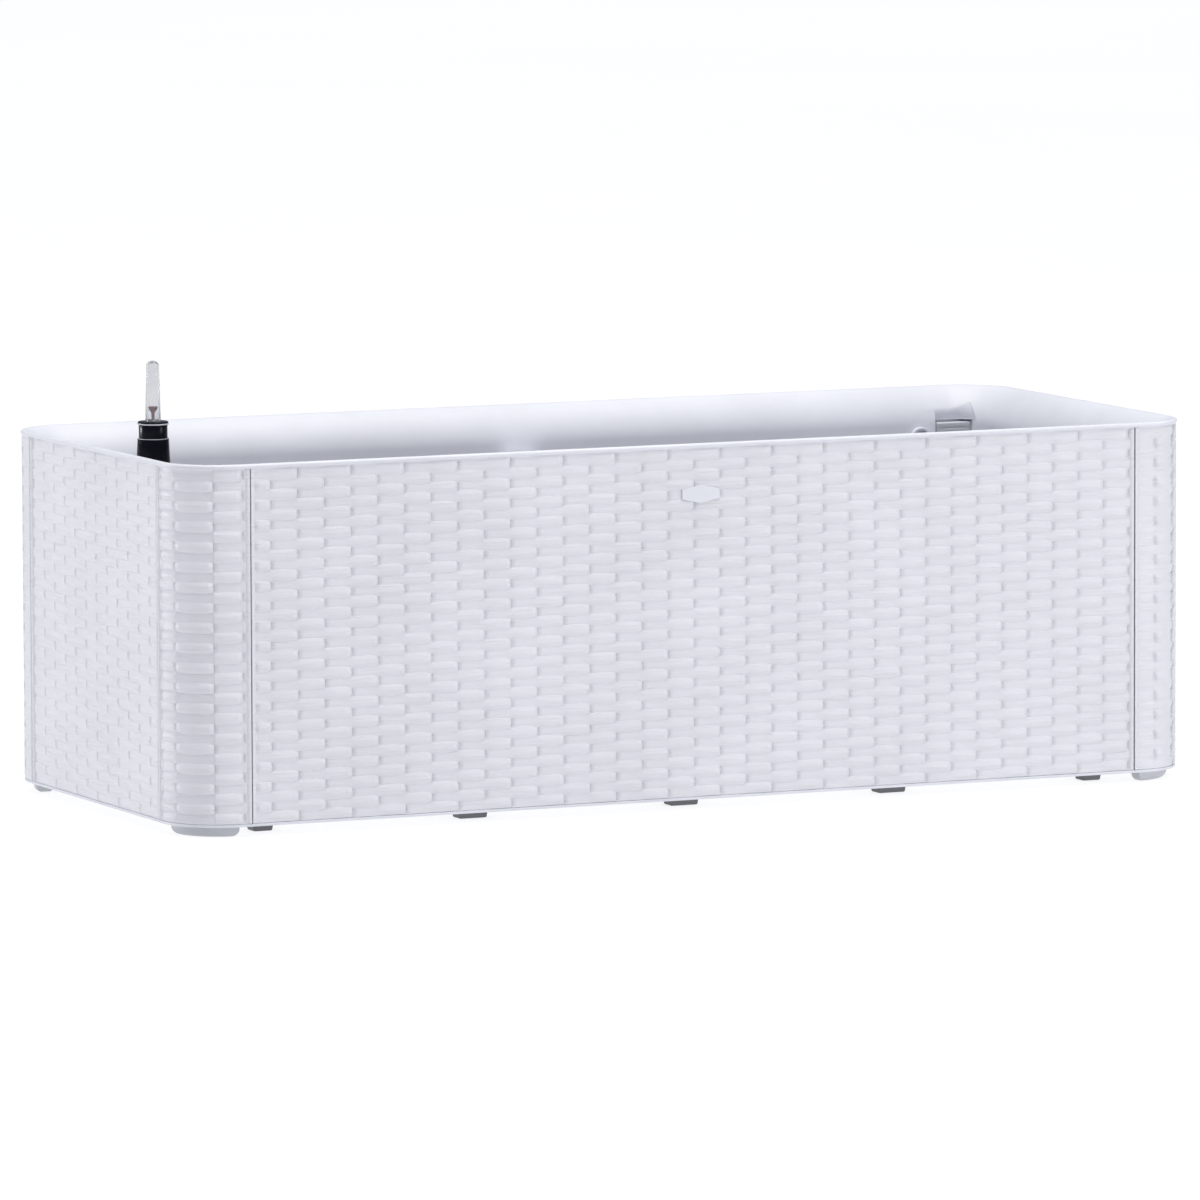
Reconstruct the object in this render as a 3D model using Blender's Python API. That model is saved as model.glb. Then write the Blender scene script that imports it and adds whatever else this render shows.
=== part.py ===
"""Self watering planter: rattan-look raised bed with a liner tub, false floor and float gauge.

Origin on the ground under the middle of the planter. +X runs along its length to the
right end, -Y faces the front, +Z is up. Metres.
"""

import math

import bmesh
import bpy
from mathutils import Matrix, Vector

# ---------------------------------------------------------------- driving dimensions
LENGTH = 1.000
WIDTH = 0.430
HEIGHT = 0.330
CORNER_RADIUS = 0.055
ARC_STEPS = 8
GAP = 0.0003
CUT_MARGIN = 0.0100
PIVOT_SIZE = 0.030

# Base tray and feet
FOOT_HEIGHT = 0.0092
TRAY_BOTTOM = FOOT_HEIGHT + GAP
TRAY_TOP = 0.0120
TRAY_INSET = 0.0012
BASE_FOOT_COUNT = 5
BASE_FOOT_PITCH = 0.2075
BASE_FOOT_SIZE = (0.029, 0.018)
BASE_FOOT_Y = 0.170
BASE_FOOT_DRAFT = 0.0015
END_FOOT_TRIM = 0.009
CORNER_FOOT_INSET = 0.009
CORNER_FOOT_BAND = 0.016

# Woven cladding
PANEL_TOP = 0.3250
PANEL_BOTTOM = TRAY_TOP + GAP
PANEL_INSET = 0.0020
PANEL_THICK = 0.0028
COVER_INSET = 0.0015
COVER_THICK = 0.0033
COVER_REACH = 0.0640
SEAM_GAP = 0.0010
BADGE_SIZE = (0.037, 0.017, 0.0013)
BADGE_SIDE_HEIGHT = 0.0086
BADGE_Z = 0.2845

# Liner tub: (inset from the outer outline, height) of the inner and the outer skin
TUB_BOTTOM = TRAY_TOP + GAP
FLOOR_TOP = 0.0147
WALL_FOOT_INSET = 0.0360
WALL_HEAD_INSET = 0.0310
WALL_HEAD_Z = 0.2950
SKIN = 0.0022
SHOULDER = ((0.0310, 0.2950), (0.0300, 0.3120), (0.0120, 0.3290), (0.0048, 0.3298))
SHOULDER_STEPS = 7
BEAD_RADIUS = 0.0022
BEAD_STEPS = 8

# Corner channels: an upright recess at each end of the long walls, with a lock post in it
CHANNEL_X = (0.4300, 0.4665)
CHANNEL_Y = 0.1893
CHANNEL_TOP = 0.3215
CHANNEL_SKIN = 0.0020
CHANNEL_BOTTOM = 0.0187
CHANNEL_BOSS_BOTTOM = 0.0167
CHANNEL_BOSS_TOP = 0.3225
CHANNEL_BOSS_BACK_Y = 0.1615
CHANNEL_CUT_FROM_Y = 0.1200
LOCK_GAP = 0.0007
LOCK_FRONT_Y = 0.1815
LOCK_BOTTOM = 0.0200
LOCK_TOP = 0.2972

# Cross brace at mid length, its two brackets, and the four liner grommets
BRACE_HALF_WIDTH = 0.0155
BRACE_TOP = 0.2880
BRACE_DEPTH = 0.0160
BRACE_WALL = 0.0025
BRACE_END_GAP = 0.0010
BRACKET_HALF_WIDTH = 0.0195
BRACKET_REACH = 0.0140
BRACKET_BOTTOM = 0.2640
BRACKET_TOP = 0.2890
BRACKET_WALL = 0.0020
GROMMET_X = 0.4132
GROMMET_Z = 0.2835
GROMMET_RADIUS = 0.0105
GROMMET_HOLE = 0.0072
GROMMET_THICK = 0.0040

# False floor: two lift-out grates on a fixed centre bridge
GRATE_TOP = 0.0913
GRATE_THICK = 0.0025
GRATE_INNER_X = 0.0205
GRATE_WALL_GAP = 0.0030
LEG_RADIUS = 0.0060
LEG_STEPS = 10
LEG_OVERLAP = 0.0012
LEG_X = (0.070, 0.235, 0.400)
LEG_Y = 0.130
SLOT_SIZE = (0.034, 0.003)
SLOT_COLUMNS = (0.070, 0.125, 0.180, 0.235, 0.290, 0.345, 0.400)
SLOT_ROWS = (-0.155, -0.105, -0.060, -0.030, 0.030, 0.060, 0.105, 0.155)
WICK_RADIUS = 0.0080
WICK_HEAD_RADIUS = 0.0120
WICK_HEAD_THICK = 0.0030
WICK_BOTTOM = 0.0190
WICK_STEPS = 16
WICK_X = (0.1525, 0.3175)
WICK_Y = 0.0825
BRIDGE_SHELF_HALF = 0.0300
BRIDGE_TOP_HALF = 0.0195
BRIDGE_SHELF_TOP = GRATE_TOP - GRATE_THICK - GAP
BRIDGE_SHELF_THICK = 0.0030
BRIDGE_END_GAP = 0.0030

# Filler tube and float gauge, on one upright axis near the left end
GAUGE_X = -0.4400
GAUGE_Y = 0.0
TUBE_BOTTOM = 0.0180
TUBE_TOP = 0.3345
TUBE_RADIUS = 0.0153
TUBE_TOP_RADIUS = 0.0141
TUBE_TAPER_Z = 0.3100
TUBE_BORE = 0.0126
TUBE_FLANGE_RADIUS = 0.0200
TUBE_FLANGE_THICK = 0.0030
COLLAR_BOTTOM = 0.3080
COLLAR_TOP = 0.3470
COLLAR_RADIUS = 0.0129
COLLAR_PLUG_RADIUS = 0.0121
COLLAR_BORE = 0.0024
BEZEL_TOP = 0.3502
BEZEL_RADIUS = 0.0138
BEZEL_EDGE = 0.0007
SIGHT_BOTTOM = BEZEL_TOP + GAP
SIGHT_TOP = 0.4045
SIGHT_RADIUS = 0.0068
SIGHT_TOP_RADIUS = 0.0057
SIGHT_WALL = 0.0009
SIGHT_DOME = 0.0040
SIGHT_DOME_STEPS = 4
FLOAT_BOTTOM = 0.0260
FLOAT_TOP = 0.0480
FLOAT_RADIUS = 0.0105
FLOAT_EDGE = 0.0015
ROD_RADIUS = 0.0012
STEM_BOTTOM = 0.3510
STEM_RADIUS = 0.0016
HEAD_BOTTOM = 0.3570
HEAD_TOP = 0.3630
HEAD_RADIUS = 0.0044
HEAD_FLARE = 0.0020
HEAD_EDGE = 0.0010
ROUND_STEPS = 24

# Overflow port low in the right end, closed by a push-in plug
PORT_Z = 0.0760
PORT_RADIUS = 0.0085
PORT_BORE = 0.0056
PORT_FACE_X = LENGTH / 2 - 0.0055
PLUG_HEAD_RADIUS = 0.0080
PLUG_HEAD_THICK = 0.0030
PLUG_TIP_X = 0.4640
PLUG_TIP_EDGE = 0.0008
PLUG_GRIP_SIZE = (0.0012, 0.0055)
PLUG_GRIP_OVERLAP = 0.0010
SEAL_RADIUS = 0.0054
SEAL_PLACE_X = 0.4720
SEAL_WIDTH = 0.0030
SEAL_GROOVE_RADIUS = 0.0036
SEAL_INNER_RADIUS = 0.0038
PLUG_SHAFT_RADIUS = 0.0049
PORT_HOLE_RADIUS = PORT_RADIUS + 0.0005

CORNERS = {
    "front_left": (-1, -1),
    "front_right": (1, -1),
    "back_left": (-1, 1),
    "back_right": (1, 1),
}


# ---------------------------------------------------------------- scene and materials
def clear_scene():
    for obj in list(bpy.data.objects):
        bpy.data.objects.remove(obj, do_unlink=True)


def material(name, colour, roughness, metallic=0.0, transmission=0.0):
    made = bpy.data.materials.new(name)
    made.use_nodes = True
    shader = made.node_tree.nodes["Principled BSDF"]
    shader.inputs["Base Color"].default_value = (*colour, 1.0)
    shader.inputs["Roughness"].default_value = roughness
    shader.inputs["Metallic"].default_value = metallic
    shader.inputs["Transmission Weight"].default_value = transmission
    return made


def make_materials():
    return {
        "woven": material("woven_white_polypropylene", (0.80, 0.81, 0.84), 0.45),
        "white": material("white_polypropylene", (0.84, 0.85, 0.87), 0.40),
        "grey": material("light_grey_polypropylene", (0.55, 0.57, 0.60), 0.50),
        "foot": material("dark_foot_plastic", (0.16, 0.17, 0.19), 0.60),
        "grate": material("charcoal_polypropylene", (0.10, 0.10, 0.11), 0.55),
        "felt": material("wick_felt", (0.72, 0.70, 0.64), 0.95),
        "black": material("black_gauge_plastic", (0.012, 0.012, 0.016), 0.28),
        "clear": material("clear_gauge_plastic", (0.95, 0.96, 0.98), 0.05, 0.0, 1.0),
        "red": material("red_indicator_plastic", (0.42, 0.02, 0.04), 0.35),
        "foam": material("float_foam", (0.85, 0.83, 0.76), 0.80),
        "rubber": material("black_rubber", (0.03, 0.03, 0.03), 0.75),
    }


# ---------------------------------------------------------------- mesh helpers
def add_mesh(name, bm, look, origin=(0, 0, 0), sharp_degrees=35):
    """Turns a bmesh in world coordinates into an object whose own origin is where given."""
    origin = Vector(origin)
    bmesh.ops.recalc_face_normals(bm, faces=bm.faces)
    bmesh.ops.transform(bm, matrix=Matrix.Translation(-origin), verts=bm.verts)
    mesh = bpy.data.meshes.new(name)
    bm.to_mesh(mesh)
    bm.free()
    obj = bpy.data.objects.new(name, mesh)
    obj.location = origin
    bpy.context.collection.objects.link(obj)
    if look:
        mesh.materials.append(look)
    mesh.shade_smooth()
    mesh.set_sharp_from_angle(angle=math.radians(sharp_degrees))
    return obj


def cutter(name, bm):
    obj = add_mesh(name, bm, None)
    obj.hide_render = True
    obj.display_type = "WIRE"
    return obj


def boolean(obj, tool, operation):
    modifier = obj.modifiers.new(tool.name, "BOOLEAN")
    modifier.operation = operation
    modifier.object = tool
    modifier.solver = "EXACT"


def box_bm(low, high):
    bm = bmesh.new()
    bmesh.ops.create_cube(bm, size=1.0)
    size = Vector(high) - Vector(low)
    centre = (Vector(high) + Vector(low)) / 2
    matrix = Matrix.Translation(centre) @ Matrix.Diagonal((*size, 1.0))
    bmesh.ops.transform(bm, matrix=matrix, verts=bm.verts)
    return bm


def prism_bm(outline, bottom, top, shrink_bottom=0.0):
    """A closed prism over an outline of (x, y) points, optionally smaller at the bottom."""
    bm = bmesh.new()
    centre = sum((Vector(point) for point in outline), Vector((0, 0))) / len(outline)
    rings = []
    for height, shrink in ((bottom, shrink_bottom), (top, 0.0)):
        ring = []
        for point in outline:
            away = Vector(point) - centre
            place = Vector(point) - away.normalized() * shrink
            ring.append(bm.verts.new((place.x, place.y, height)))
        rings.append(ring)
    join_rings(bm, rings[0], rings[1])
    bm.faces.new(rings[0][::-1])
    bm.faces.new(rings[1])
    return bm


def join_rings(bm, lower, upper):
    count = len(lower)
    for i in range(count):
        j = (i + 1) % count
        bm.faces.new((lower[i], lower[j], upper[j], upper[i]))


def lathe_bm(profile, axis_point, steps=ROUND_STEPS, hollow=False, along_x=False):
    """Turns (radius, height) points round an upright axis. A hollow profile is a closed loop."""
    bm = bmesh.new()
    rings = []
    for radius, height in profile:
        if radius == 0.0:
            rings.append([bm.verts.new((0, 0, height))])
            continue
        ring = []
        for k in range(steps):
            angle = 2 * math.pi * k / steps
            ring.append(bm.verts.new((radius * math.cos(angle), radius * math.sin(angle), height)))
        rings.append(ring)
    pairs = list(zip(rings, rings[1:]))
    if hollow:
        pairs.append((rings[-1], rings[0]))
    for lower, upper in pairs:
        if len(lower) == 1:
            for k in range(steps):
                bm.faces.new((lower[0], upper[(k + 1) % steps], upper[k]))
        elif len(upper) == 1:
            for k in range(steps):
                bm.faces.new((lower[k], lower[(k + 1) % steps], upper[0]))
        else:
            join_rings(bm, lower, upper)
    matrix = Matrix.Translation(axis_point)
    if along_x:
        matrix = matrix @ Matrix.Rotation(math.radians(90), 4, "Y")
    bmesh.ops.transform(bm, matrix=matrix, verts=bm.verts)
    return bm


def cylinder_bm(radius, bottom, top, x, y, steps=ROUND_STEPS):
    profile = [(0.0, bottom), (radius, bottom), (radius, top), (0.0, top)]
    return lathe_bm(profile, (x, y, 0), steps)


def x_cylinder_bm(radius, x_from, x_to, z):
    half = (x_to - x_from) / 2
    profile = [(0.0, -half), (radius, -half), (radius, half), (0.0, half)]
    return lathe_bm(profile, ((x_from + x_to) / 2, 0, z), along_x=True)


def merge_bm(parts):
    """Puts several separate bmeshes in one, for use as a single cutter."""
    merged = bmesh.new()
    for bm in parts:
        mesh = bpy.data.meshes.new("part")
        bm.to_mesh(mesh)
        bm.free()
        merged.from_mesh(mesh)
        bpy.data.meshes.remove(mesh)
    return merged


def outline_at(inset):
    """The planter's rounded outline, moved inwards by the inset."""
    radius = CORNER_RADIUS - inset
    centre_x = LENGTH / 2 - CORNER_RADIUS
    centre_y = WIDTH / 2 - CORNER_RADIUS
    points = []
    for quarter, (sx, sy) in enumerate(((1, 1), (-1, 1), (-1, -1), (1, -1))):
        for k in range(ARC_STEPS + 1):
            angle = math.pi / 2 * (quarter + k / ARC_STEPS)
            x = sx * centre_x + radius * math.cos(angle)
            y = sy * centre_y + radius * math.sin(angle)
            points.append((x, y))
    return points


def loft_bm(rows):
    """A closed body through rings at (inset, height), capped at its first and last ring."""
    bm = bmesh.new()
    rings = [[bm.verts.new((x, y, z)) for x, y in outline_at(inset)] for inset, z in rows]
    for lower, upper in zip(rings, rings[1:]):
        join_rings(bm, lower, upper)
    bm.faces.new(rings[0])
    bm.faces.new(rings[-1])
    return bm


def bezier(points, steps):
    a, b, c, d = (Vector(point) for point in points)
    curve = []
    for k in range(steps + 1):
        t = k / steps
        curve.append(a * (1 - t) ** 3 + b * 3 * t * (1 - t) ** 2 + c * 3 * t * t * (1 - t) + d * t**3)
    return curve


def offset_curve(curve, distance):
    """The curve moved to its left-hand side by a distance."""
    moved = []
    for i, point in enumerate(curve):
        before = curve[max(i - 1, 0)]
        after = curve[min(i + 1, len(curve) - 1)]
        direction = (after - before).normalized()
        moved.append(point + Vector((direction.y, -direction.x)) * -distance)
    return moved


def mirrored(points, sx, sy):
    """Outline points of the back right corner, moved to another corner."""
    moved = [Vector((sx * x, sy * y)) for x, y in points]
    return moved if sx * sy > 0 else moved[::-1]


def attach(pieces, pivot):
    """Parents pieces to a pivot empty and keeps them where they are."""
    for piece in pieces:
        piece.parent = pivot
        piece.location -= Vector(pivot["place"])


def pivot_at(name, place, parent=None):
    pivot = bpy.data.objects.new(name, None)
    pivot.empty_display_size = PIVOT_SIZE
    pivot.location = place
    pivot["place"] = place
    bpy.context.collection.objects.link(pivot)
    if parent:
        attach([pivot], parent)
    return pivot


# ---------------------------------------------------------------- base tray and feet
def base_tray(look):
    rows = [(TRAY_INSET, TRAY_BOTTOM), (TRAY_INSET, TRAY_TOP)]
    return add_mesh("base_tray", loft_bm(rows), look)


def corner_feet(look):
    outer = CORNER_RADIUS - CORNER_FOOT_INSET
    inner = outer - CORNER_FOOT_BAND
    centre = Vector((LENGTH / 2 - CORNER_RADIUS, WIDTH / 2 - CORNER_RADIUS))
    arc = [math.pi / 2 * k / ARC_STEPS for k in range(ARC_STEPS + 1)]
    outline = [centre + outer * Vector((math.cos(a), math.sin(a))) for a in arc]
    outline += [centre + inner * Vector((math.cos(a), math.sin(a))) for a in arc[::-1]]
    for name, (sx, sy) in CORNERS.items():
        foot = prism_bm(mirrored(outline, sx, sy), 0.0, FOOT_HEIGHT)
        add_mesh("corner_foot_" + name, foot, look)


def base_feet(look):
    half_x = BASE_FOOT_SIZE[0] / 2
    half_y = BASE_FOOT_SIZE[1] / 2
    for side, sy in (("front", -1), ("back", 1)):
        for k in range(BASE_FOOT_COUNT):
            x = (k - (BASE_FOOT_COUNT - 1) / 2) * BASE_FOOT_PITCH
            y = sy * BASE_FOOT_Y
            low = x - half_x
            high = x + half_x
            # The two end feet stop short, to leave a gap beside the corner feet.
            if k == 0:
                low += END_FOOT_TRIM
            if k == BASE_FOOT_COUNT - 1:
                high -= END_FOOT_TRIM
            outline = [
                (low, y - half_y),
                (high, y - half_y),
                (high, y + half_y),
                (low, y + half_y),
            ]
            foot = prism_bm(outline, 0.0, FOOT_HEIGHT, shrink_bottom=BASE_FOOT_DRAFT)
            add_mesh(f"base_foot_{side}_{k + 1}", foot, look)


# ---------------------------------------------------------------- woven cladding
def cladding(look):
    reach_x = LENGTH / 2 - COVER_REACH - SEAM_GAP
    reach_y = WIDTH / 2 - COVER_REACH - SEAM_GAP
    outer_y = WIDTH / 2 - PANEL_INSET
    outer_x = LENGTH / 2 - PANEL_INSET
    inner_y = outer_y - PANEL_THICK
    inner_x = outer_x - PANEL_THICK
    panels = {
        "front_panel": ((-reach_x, -outer_y), (reach_x, -inner_y)),
        "back_panel": ((-reach_x, inner_y), (reach_x, outer_y)),
        "left_panel": ((-outer_x, -reach_y), (-inner_x, reach_y)),
        "right_panel": ((inner_x, -reach_y), (outer_x, reach_y)),
    }
    made = {}
    for name, (low, high) in panels.items():
        slab = box_bm((*low, PANEL_BOTTOM), (*high, PANEL_TOP))
        made[name] = add_mesh(name, slab, look)
    hole = x_cylinder_bm(PORT_HOLE_RADIUS, inner_x - CUT_MARGIN, outer_x + CUT_MARGIN, PORT_Z)
    boolean(made["right_panel"], cutter("port_hole_cutter", hole), "DIFFERENCE")


def cover_outline(inset, thick):
    """The back right corner cover in plan: a straight run, the corner arc, a straight run."""
    centre = Vector((LENGTH / 2 - CORNER_RADIUS, WIDTH / 2 - CORNER_RADIUS))
    end_x = LENGTH / 2 - COVER_REACH
    end_y = WIDTH / 2 - COVER_REACH
    arc = [math.pi / 2 * k / ARC_STEPS for k in range(ARC_STEPS + 1)]
    outer = CORNER_RADIUS - inset
    inner = outer - thick
    outline = [Vector((centre.x + outer, end_y))]
    outline += [centre + outer * Vector((math.cos(a), math.sin(a))) for a in arc]
    outline += [Vector((end_x, centre.y + outer)), Vector((end_x, centre.y + inner))]
    outline += [centre + inner * Vector((math.cos(a), math.sin(a))) for a in arc[::-1]]
    outline.append(Vector((centre.x + inner, end_y)))
    return outline


def corner_covers(look):
    outline = cover_outline(COVER_INSET, COVER_THICK)
    for name, (sx, sy) in CORNERS.items():
        shell = prism_bm(mirrored(outline, sx, sy), PANEL_BOTTOM, PANEL_TOP)
        add_mesh("corner_cover_" + name, shell, look)


def badge_plate(look):
    """A blank plate with upright sides that comes to a blunt point above and below."""
    half_x, half_z, thick = BADGE_SIZE[0] / 2, BADGE_SIZE[1] / 2, BADGE_SIZE[2]
    back = -(WIDTH / 2 - PANEL_INSET) - GAP
    side = BADGE_SIDE_HEIGHT / 2
    outline = [
        (-half_x, -side),
        (0.0, -half_z),
        (half_x, -side),
        (half_x, side),
        (0.0, half_z),
        (-half_x, side),
    ]
    bm = prism_bm(outline, 0.0, thick)
    turn = Matrix.Translation((0, back, BADGE_Z)) @ Matrix.Rotation(math.radians(90), 4, "X")
    bmesh.ops.transform(bm, matrix=turn, verts=bm.verts)
    return add_mesh("badge_plate", bm, look)


# ---------------------------------------------------------------- liner tub
def tub_rows():
    """The tub's section, up the inside from the floor, over the rolled rim, down the outside."""
    shoulder = bezier(SHOULDER, SHOULDER_STEPS)
    outside = offset_curve(shoulder, SKIN)
    rows = [(WALL_FOOT_INSET, FLOOR_TOP)]
    rows += [tuple(point) for point in shoulder]
    centre_z = HEIGHT - BEAD_RADIUS
    for k in range(1, BEAD_STEPS + 1):
        angle = math.pi * (0.5 + k / BEAD_STEPS)
        inset = BEAD_RADIUS + BEAD_RADIUS * math.cos(angle)
        rows.append((inset, centre_z + BEAD_RADIUS * math.sin(angle)))
    rows += [tuple(point) for point in outside[-2::-1]]
    rows.append((WALL_FOOT_INSET - SKIN, TUB_BOTTOM))
    return rows


def wall_inset(z):
    """How far the tub's inner wall stands in from the outer outline at a height."""
    part = (z - FLOOR_TOP) / (WALL_HEAD_Z - FLOOR_TOP)
    return WALL_FOOT_INSET + (WALL_HEAD_INSET - WALL_FOOT_INSET) * part


def corner_boxes(low, high):
    """One box in each of the four corners, given at the back right one."""
    boxes = []
    for sx, sy in CORNERS.values():
        xs = sorted((sx * low[0], sx * high[0]))
        ys = sorted((sy * low[1], sy * high[1]))
        boxes.append(box_bm((xs[0], ys[0], low[2]), (xs[1], ys[1], high[2])))
    return boxes


def inner_tub(look):
    """The liner: rolled rim, rounded shoulder, walls and floor in one skin."""
    tub = add_mesh("inner_tub", loft_bm(tub_rows()), look)
    half_skin = SKIN / 2
    shoulder = offset_curve(bezier(SHOULDER, SHOULDER_STEPS), half_skin)
    inside = [(WALL_FOOT_INSET - half_skin, FLOOR_TOP - half_skin)]
    inside += [tuple(point) for point in shoulder]
    inside.append((shoulder[-1].x, HEIGHT + CUT_MARGIN))
    inside_cutter = cutter("tub_inside_cutter", loft_bm(inside))

    low = (CHANNEL_X[0] - CHANNEL_SKIN, CHANNEL_BOSS_BACK_Y, CHANNEL_BOSS_BOTTOM)
    high = (CHANNEL_X[1] + CHANNEL_SKIN, CHANNEL_Y + CHANNEL_SKIN, CHANNEL_BOSS_TOP)
    bosses = cutter("channel_bosses", merge_bm(corner_boxes(low, high)))
    boolean(bosses, inside_cutter, "DIFFERENCE")
    low = (CHANNEL_X[0], CHANNEL_CUT_FROM_Y, CHANNEL_BOTTOM)
    high = (CHANNEL_X[1], CHANNEL_Y, CHANNEL_TOP)
    channels = cutter("channel_cutter", merge_bm(corner_boxes(low, high)))

    wall_x = LENGTH / 2 - wall_inset(PORT_Z) + half_skin
    port = cutter("port_tube", x_cylinder_bm(PORT_RADIUS, wall_x, PORT_FACE_X, PORT_Z))
    bore_from = wall_x - CUT_MARGIN
    bore_to = PORT_FACE_X + CUT_MARGIN
    bore = cutter("port_bore", x_cylinder_bm(PORT_BORE, bore_from, bore_to, PORT_Z))
    boolean(tub, bosses, "UNION")
    boolean(tub, port, "UNION")
    boolean(tub, channels, "DIFFERENCE")
    boolean(tub, bore, "DIFFERENCE")
    return tub


def corner_locks(look):
    """Lock posts that stand in the corner channels and hold the walls and covers together."""
    low = (CHANNEL_X[0] + LOCK_GAP, LOCK_FRONT_Y, LOCK_BOTTOM)
    high = (CHANNEL_X[1] - LOCK_GAP, CHANNEL_Y - LOCK_GAP, LOCK_TOP)
    for name, post in zip(CORNERS, corner_boxes(low, high)):
        add_mesh("corner_lock_" + name, post, look)


def along_y_bm(section, y_from, y_to):
    """A section of (x, z) points drawn out along Y."""
    bm = prism_bm(section, -y_to, -y_from)
    bmesh.ops.transform(bm, matrix=Matrix.Rotation(math.radians(90), 4, "X"), verts=bm.verts)
    return bm


def wall_grommets(look):
    """Ring bosses on the long inner walls, beside the corner channels."""
    face_y = WIDTH / 2 - wall_inset(GROMMET_Z)
    for name, (sx, sy) in CORNERS.items():
        loop = [
            (GROMMET_HOLE, 0.0),
            (GROMMET_RADIUS, 0.0),
            (GROMMET_RADIUS, GROMMET_THICK),
            (GROMMET_HOLE, GROMMET_THICK),
        ]
        bm = lathe_bm(loop, (0, 0, 0), hollow=True)
        turn = Matrix.Rotation(math.radians(90 * sy), 4, "X")
        place = Matrix.Translation((sx * GROMMET_X, sy * (face_y - GAP), GROMMET_Z))
        bmesh.ops.transform(bm, matrix=place @ turn, verts=bm.verts)
        add_mesh("wall_grommet_" + name, bm, look)


def cross_brace(look):
    """A channel bar from front wall to back wall that keeps the long walls from bowing."""
    outer = BRACE_HALF_WIDTH
    inner = outer - BRACE_WALL
    bottom = BRACE_TOP - BRACE_DEPTH
    section = [
        (-outer, bottom),
        (-inner, bottom),
        (-inner, BRACE_TOP - BRACE_WALL),
        (inner, BRACE_TOP - BRACE_WALL),
        (inner, bottom),
        (outer, bottom),
        (outer, BRACE_TOP),
        (-outer, BRACE_TOP),
    ]
    end_y = WIDTH / 2 - wall_inset(bottom) - BRACE_END_GAP
    return add_mesh("cross_brace", along_y_bm(section, -end_y, end_y), look)


def brace_brackets(look):
    outer = BRACKET_HALF_WIDTH
    inner = outer - BRACKET_WALL
    shelf = BRACE_TOP - BRACE_DEPTH - GAP
    section = [
        (-outer, BRACKET_BOTTOM),
        (outer, BRACKET_BOTTOM),
        (outer, BRACKET_TOP),
        (inner, BRACKET_TOP),
        (inner, shelf),
        (-inner, shelf),
        (-inner, BRACKET_TOP),
        (-outer, BRACKET_TOP),
    ]
    wall_y = WIDTH / 2 - wall_inset(BRACKET_BOTTOM) - GAP
    spans = {"front": (-wall_y, BRACKET_REACH - wall_y), "back": (wall_y - BRACKET_REACH, wall_y)}
    for side, (y_from, y_to) in spans.items():
        add_mesh("brace_bracket_" + side, along_y_bm(section, y_from, y_to), look)


# ---------------------------------------------------------------- false floor
def centre_bridge(look):
    """The fixed middle strip of the false floor, on legs, with a shelf for each grate's edge."""
    shelf_bottom = BRIDGE_SHELF_TOP - BRIDGE_SHELF_THICK
    section = [
        (-BRIDGE_SHELF_HALF, shelf_bottom),
        (BRIDGE_SHELF_HALF, shelf_bottom),
        (BRIDGE_SHELF_HALF, BRIDGE_SHELF_TOP),
        (BRIDGE_TOP_HALF, BRIDGE_SHELF_TOP),
        (BRIDGE_TOP_HALF, GRATE_TOP),
        (-BRIDGE_TOP_HALF, GRATE_TOP),
        (-BRIDGE_TOP_HALF, BRIDGE_SHELF_TOP),
        (-BRIDGE_SHELF_HALF, BRIDGE_SHELF_TOP),
    ]
    end_y = WIDTH / 2 - wall_inset(shelf_bottom) - BRIDGE_END_GAP
    bridge = add_mesh("centre_bridge", along_y_bm(section, -end_y, end_y), look)
    x = BRIDGE_TOP_HALF
    places = [(sx * x, sy * LEG_Y) for sx in (-1, 1) for sy in (-1, 1)]
    boolean(bridge, cutter("bridge_legs", legs_bm(places, shelf_bottom + LEG_OVERLAP)), "UNION")
    return bridge


def legs_bm(places, top):
    bottom = FLOOR_TOP + GAP
    return merge_bm(cylinder_bm(LEG_RADIUS, bottom, top, x, y, LEG_STEPS) for x, y in places)


def grate_outline():
    """The right-hand grate in plan: its two outer corners are round."""
    inset = wall_inset(GRATE_TOP) + GRATE_WALL_GAP
    points = outline_at(inset)
    per_corner = ARC_STEPS + 1
    front = points[3 * per_corner :]
    back = points[:per_corner]
    half_y = WIDTH / 2 - inset
    return [(GRATE_INNER_X, -half_y), *front, *back, (GRATE_INNER_X, half_y)]


def grate(name, sx, look):
    """A lift-out half of the false floor, with legs, drain slots and round holes."""
    outline = mirrored(grate_outline(), sx, 1)
    bottom = GRATE_TOP - GRATE_THICK
    origin = (sx * LEG_X[1], 0, GRATE_TOP)
    plate = add_mesh(name, prism_bm(outline, bottom, GRATE_TOP), look, origin)
    places = [(sx * x, sy * LEG_Y) for x in LEG_X for sy in (-1, 1)]
    legs = cutter(name + "_legs", legs_bm(places, bottom + LEG_OVERLAP))
    below = bottom - GRATE_THICK
    above = GRATE_TOP + GRATE_THICK
    holes = []
    for x in SLOT_COLUMNS:
        for y in SLOT_ROWS:
            half = (SLOT_SIZE[0] / 2, SLOT_SIZE[1] / 2)
            low = (sx * x - half[0], y - half[1], below)
            high = (sx * x + half[0], y + half[1], above)
            holes.append(box_bm(low, high))
    for x, y in wick_places(sx):
        holes.append(cylinder_bm(WICK_RADIUS + GAP, below, above, x, y))
    if sx < 0:
        holes.append(cylinder_bm(TUBE_RADIUS + GAP, below, above, GAUGE_X, GAUGE_Y))
    boolean(plate, legs, "UNION")
    boolean(plate, cutter(name + "_holes", merge_bm(holes)), "DIFFERENCE")
    return plate


def wick_places(sx):
    return [(sx * x, sy * WICK_Y) for x in WICK_X for sy in (-1, 1)]


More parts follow.
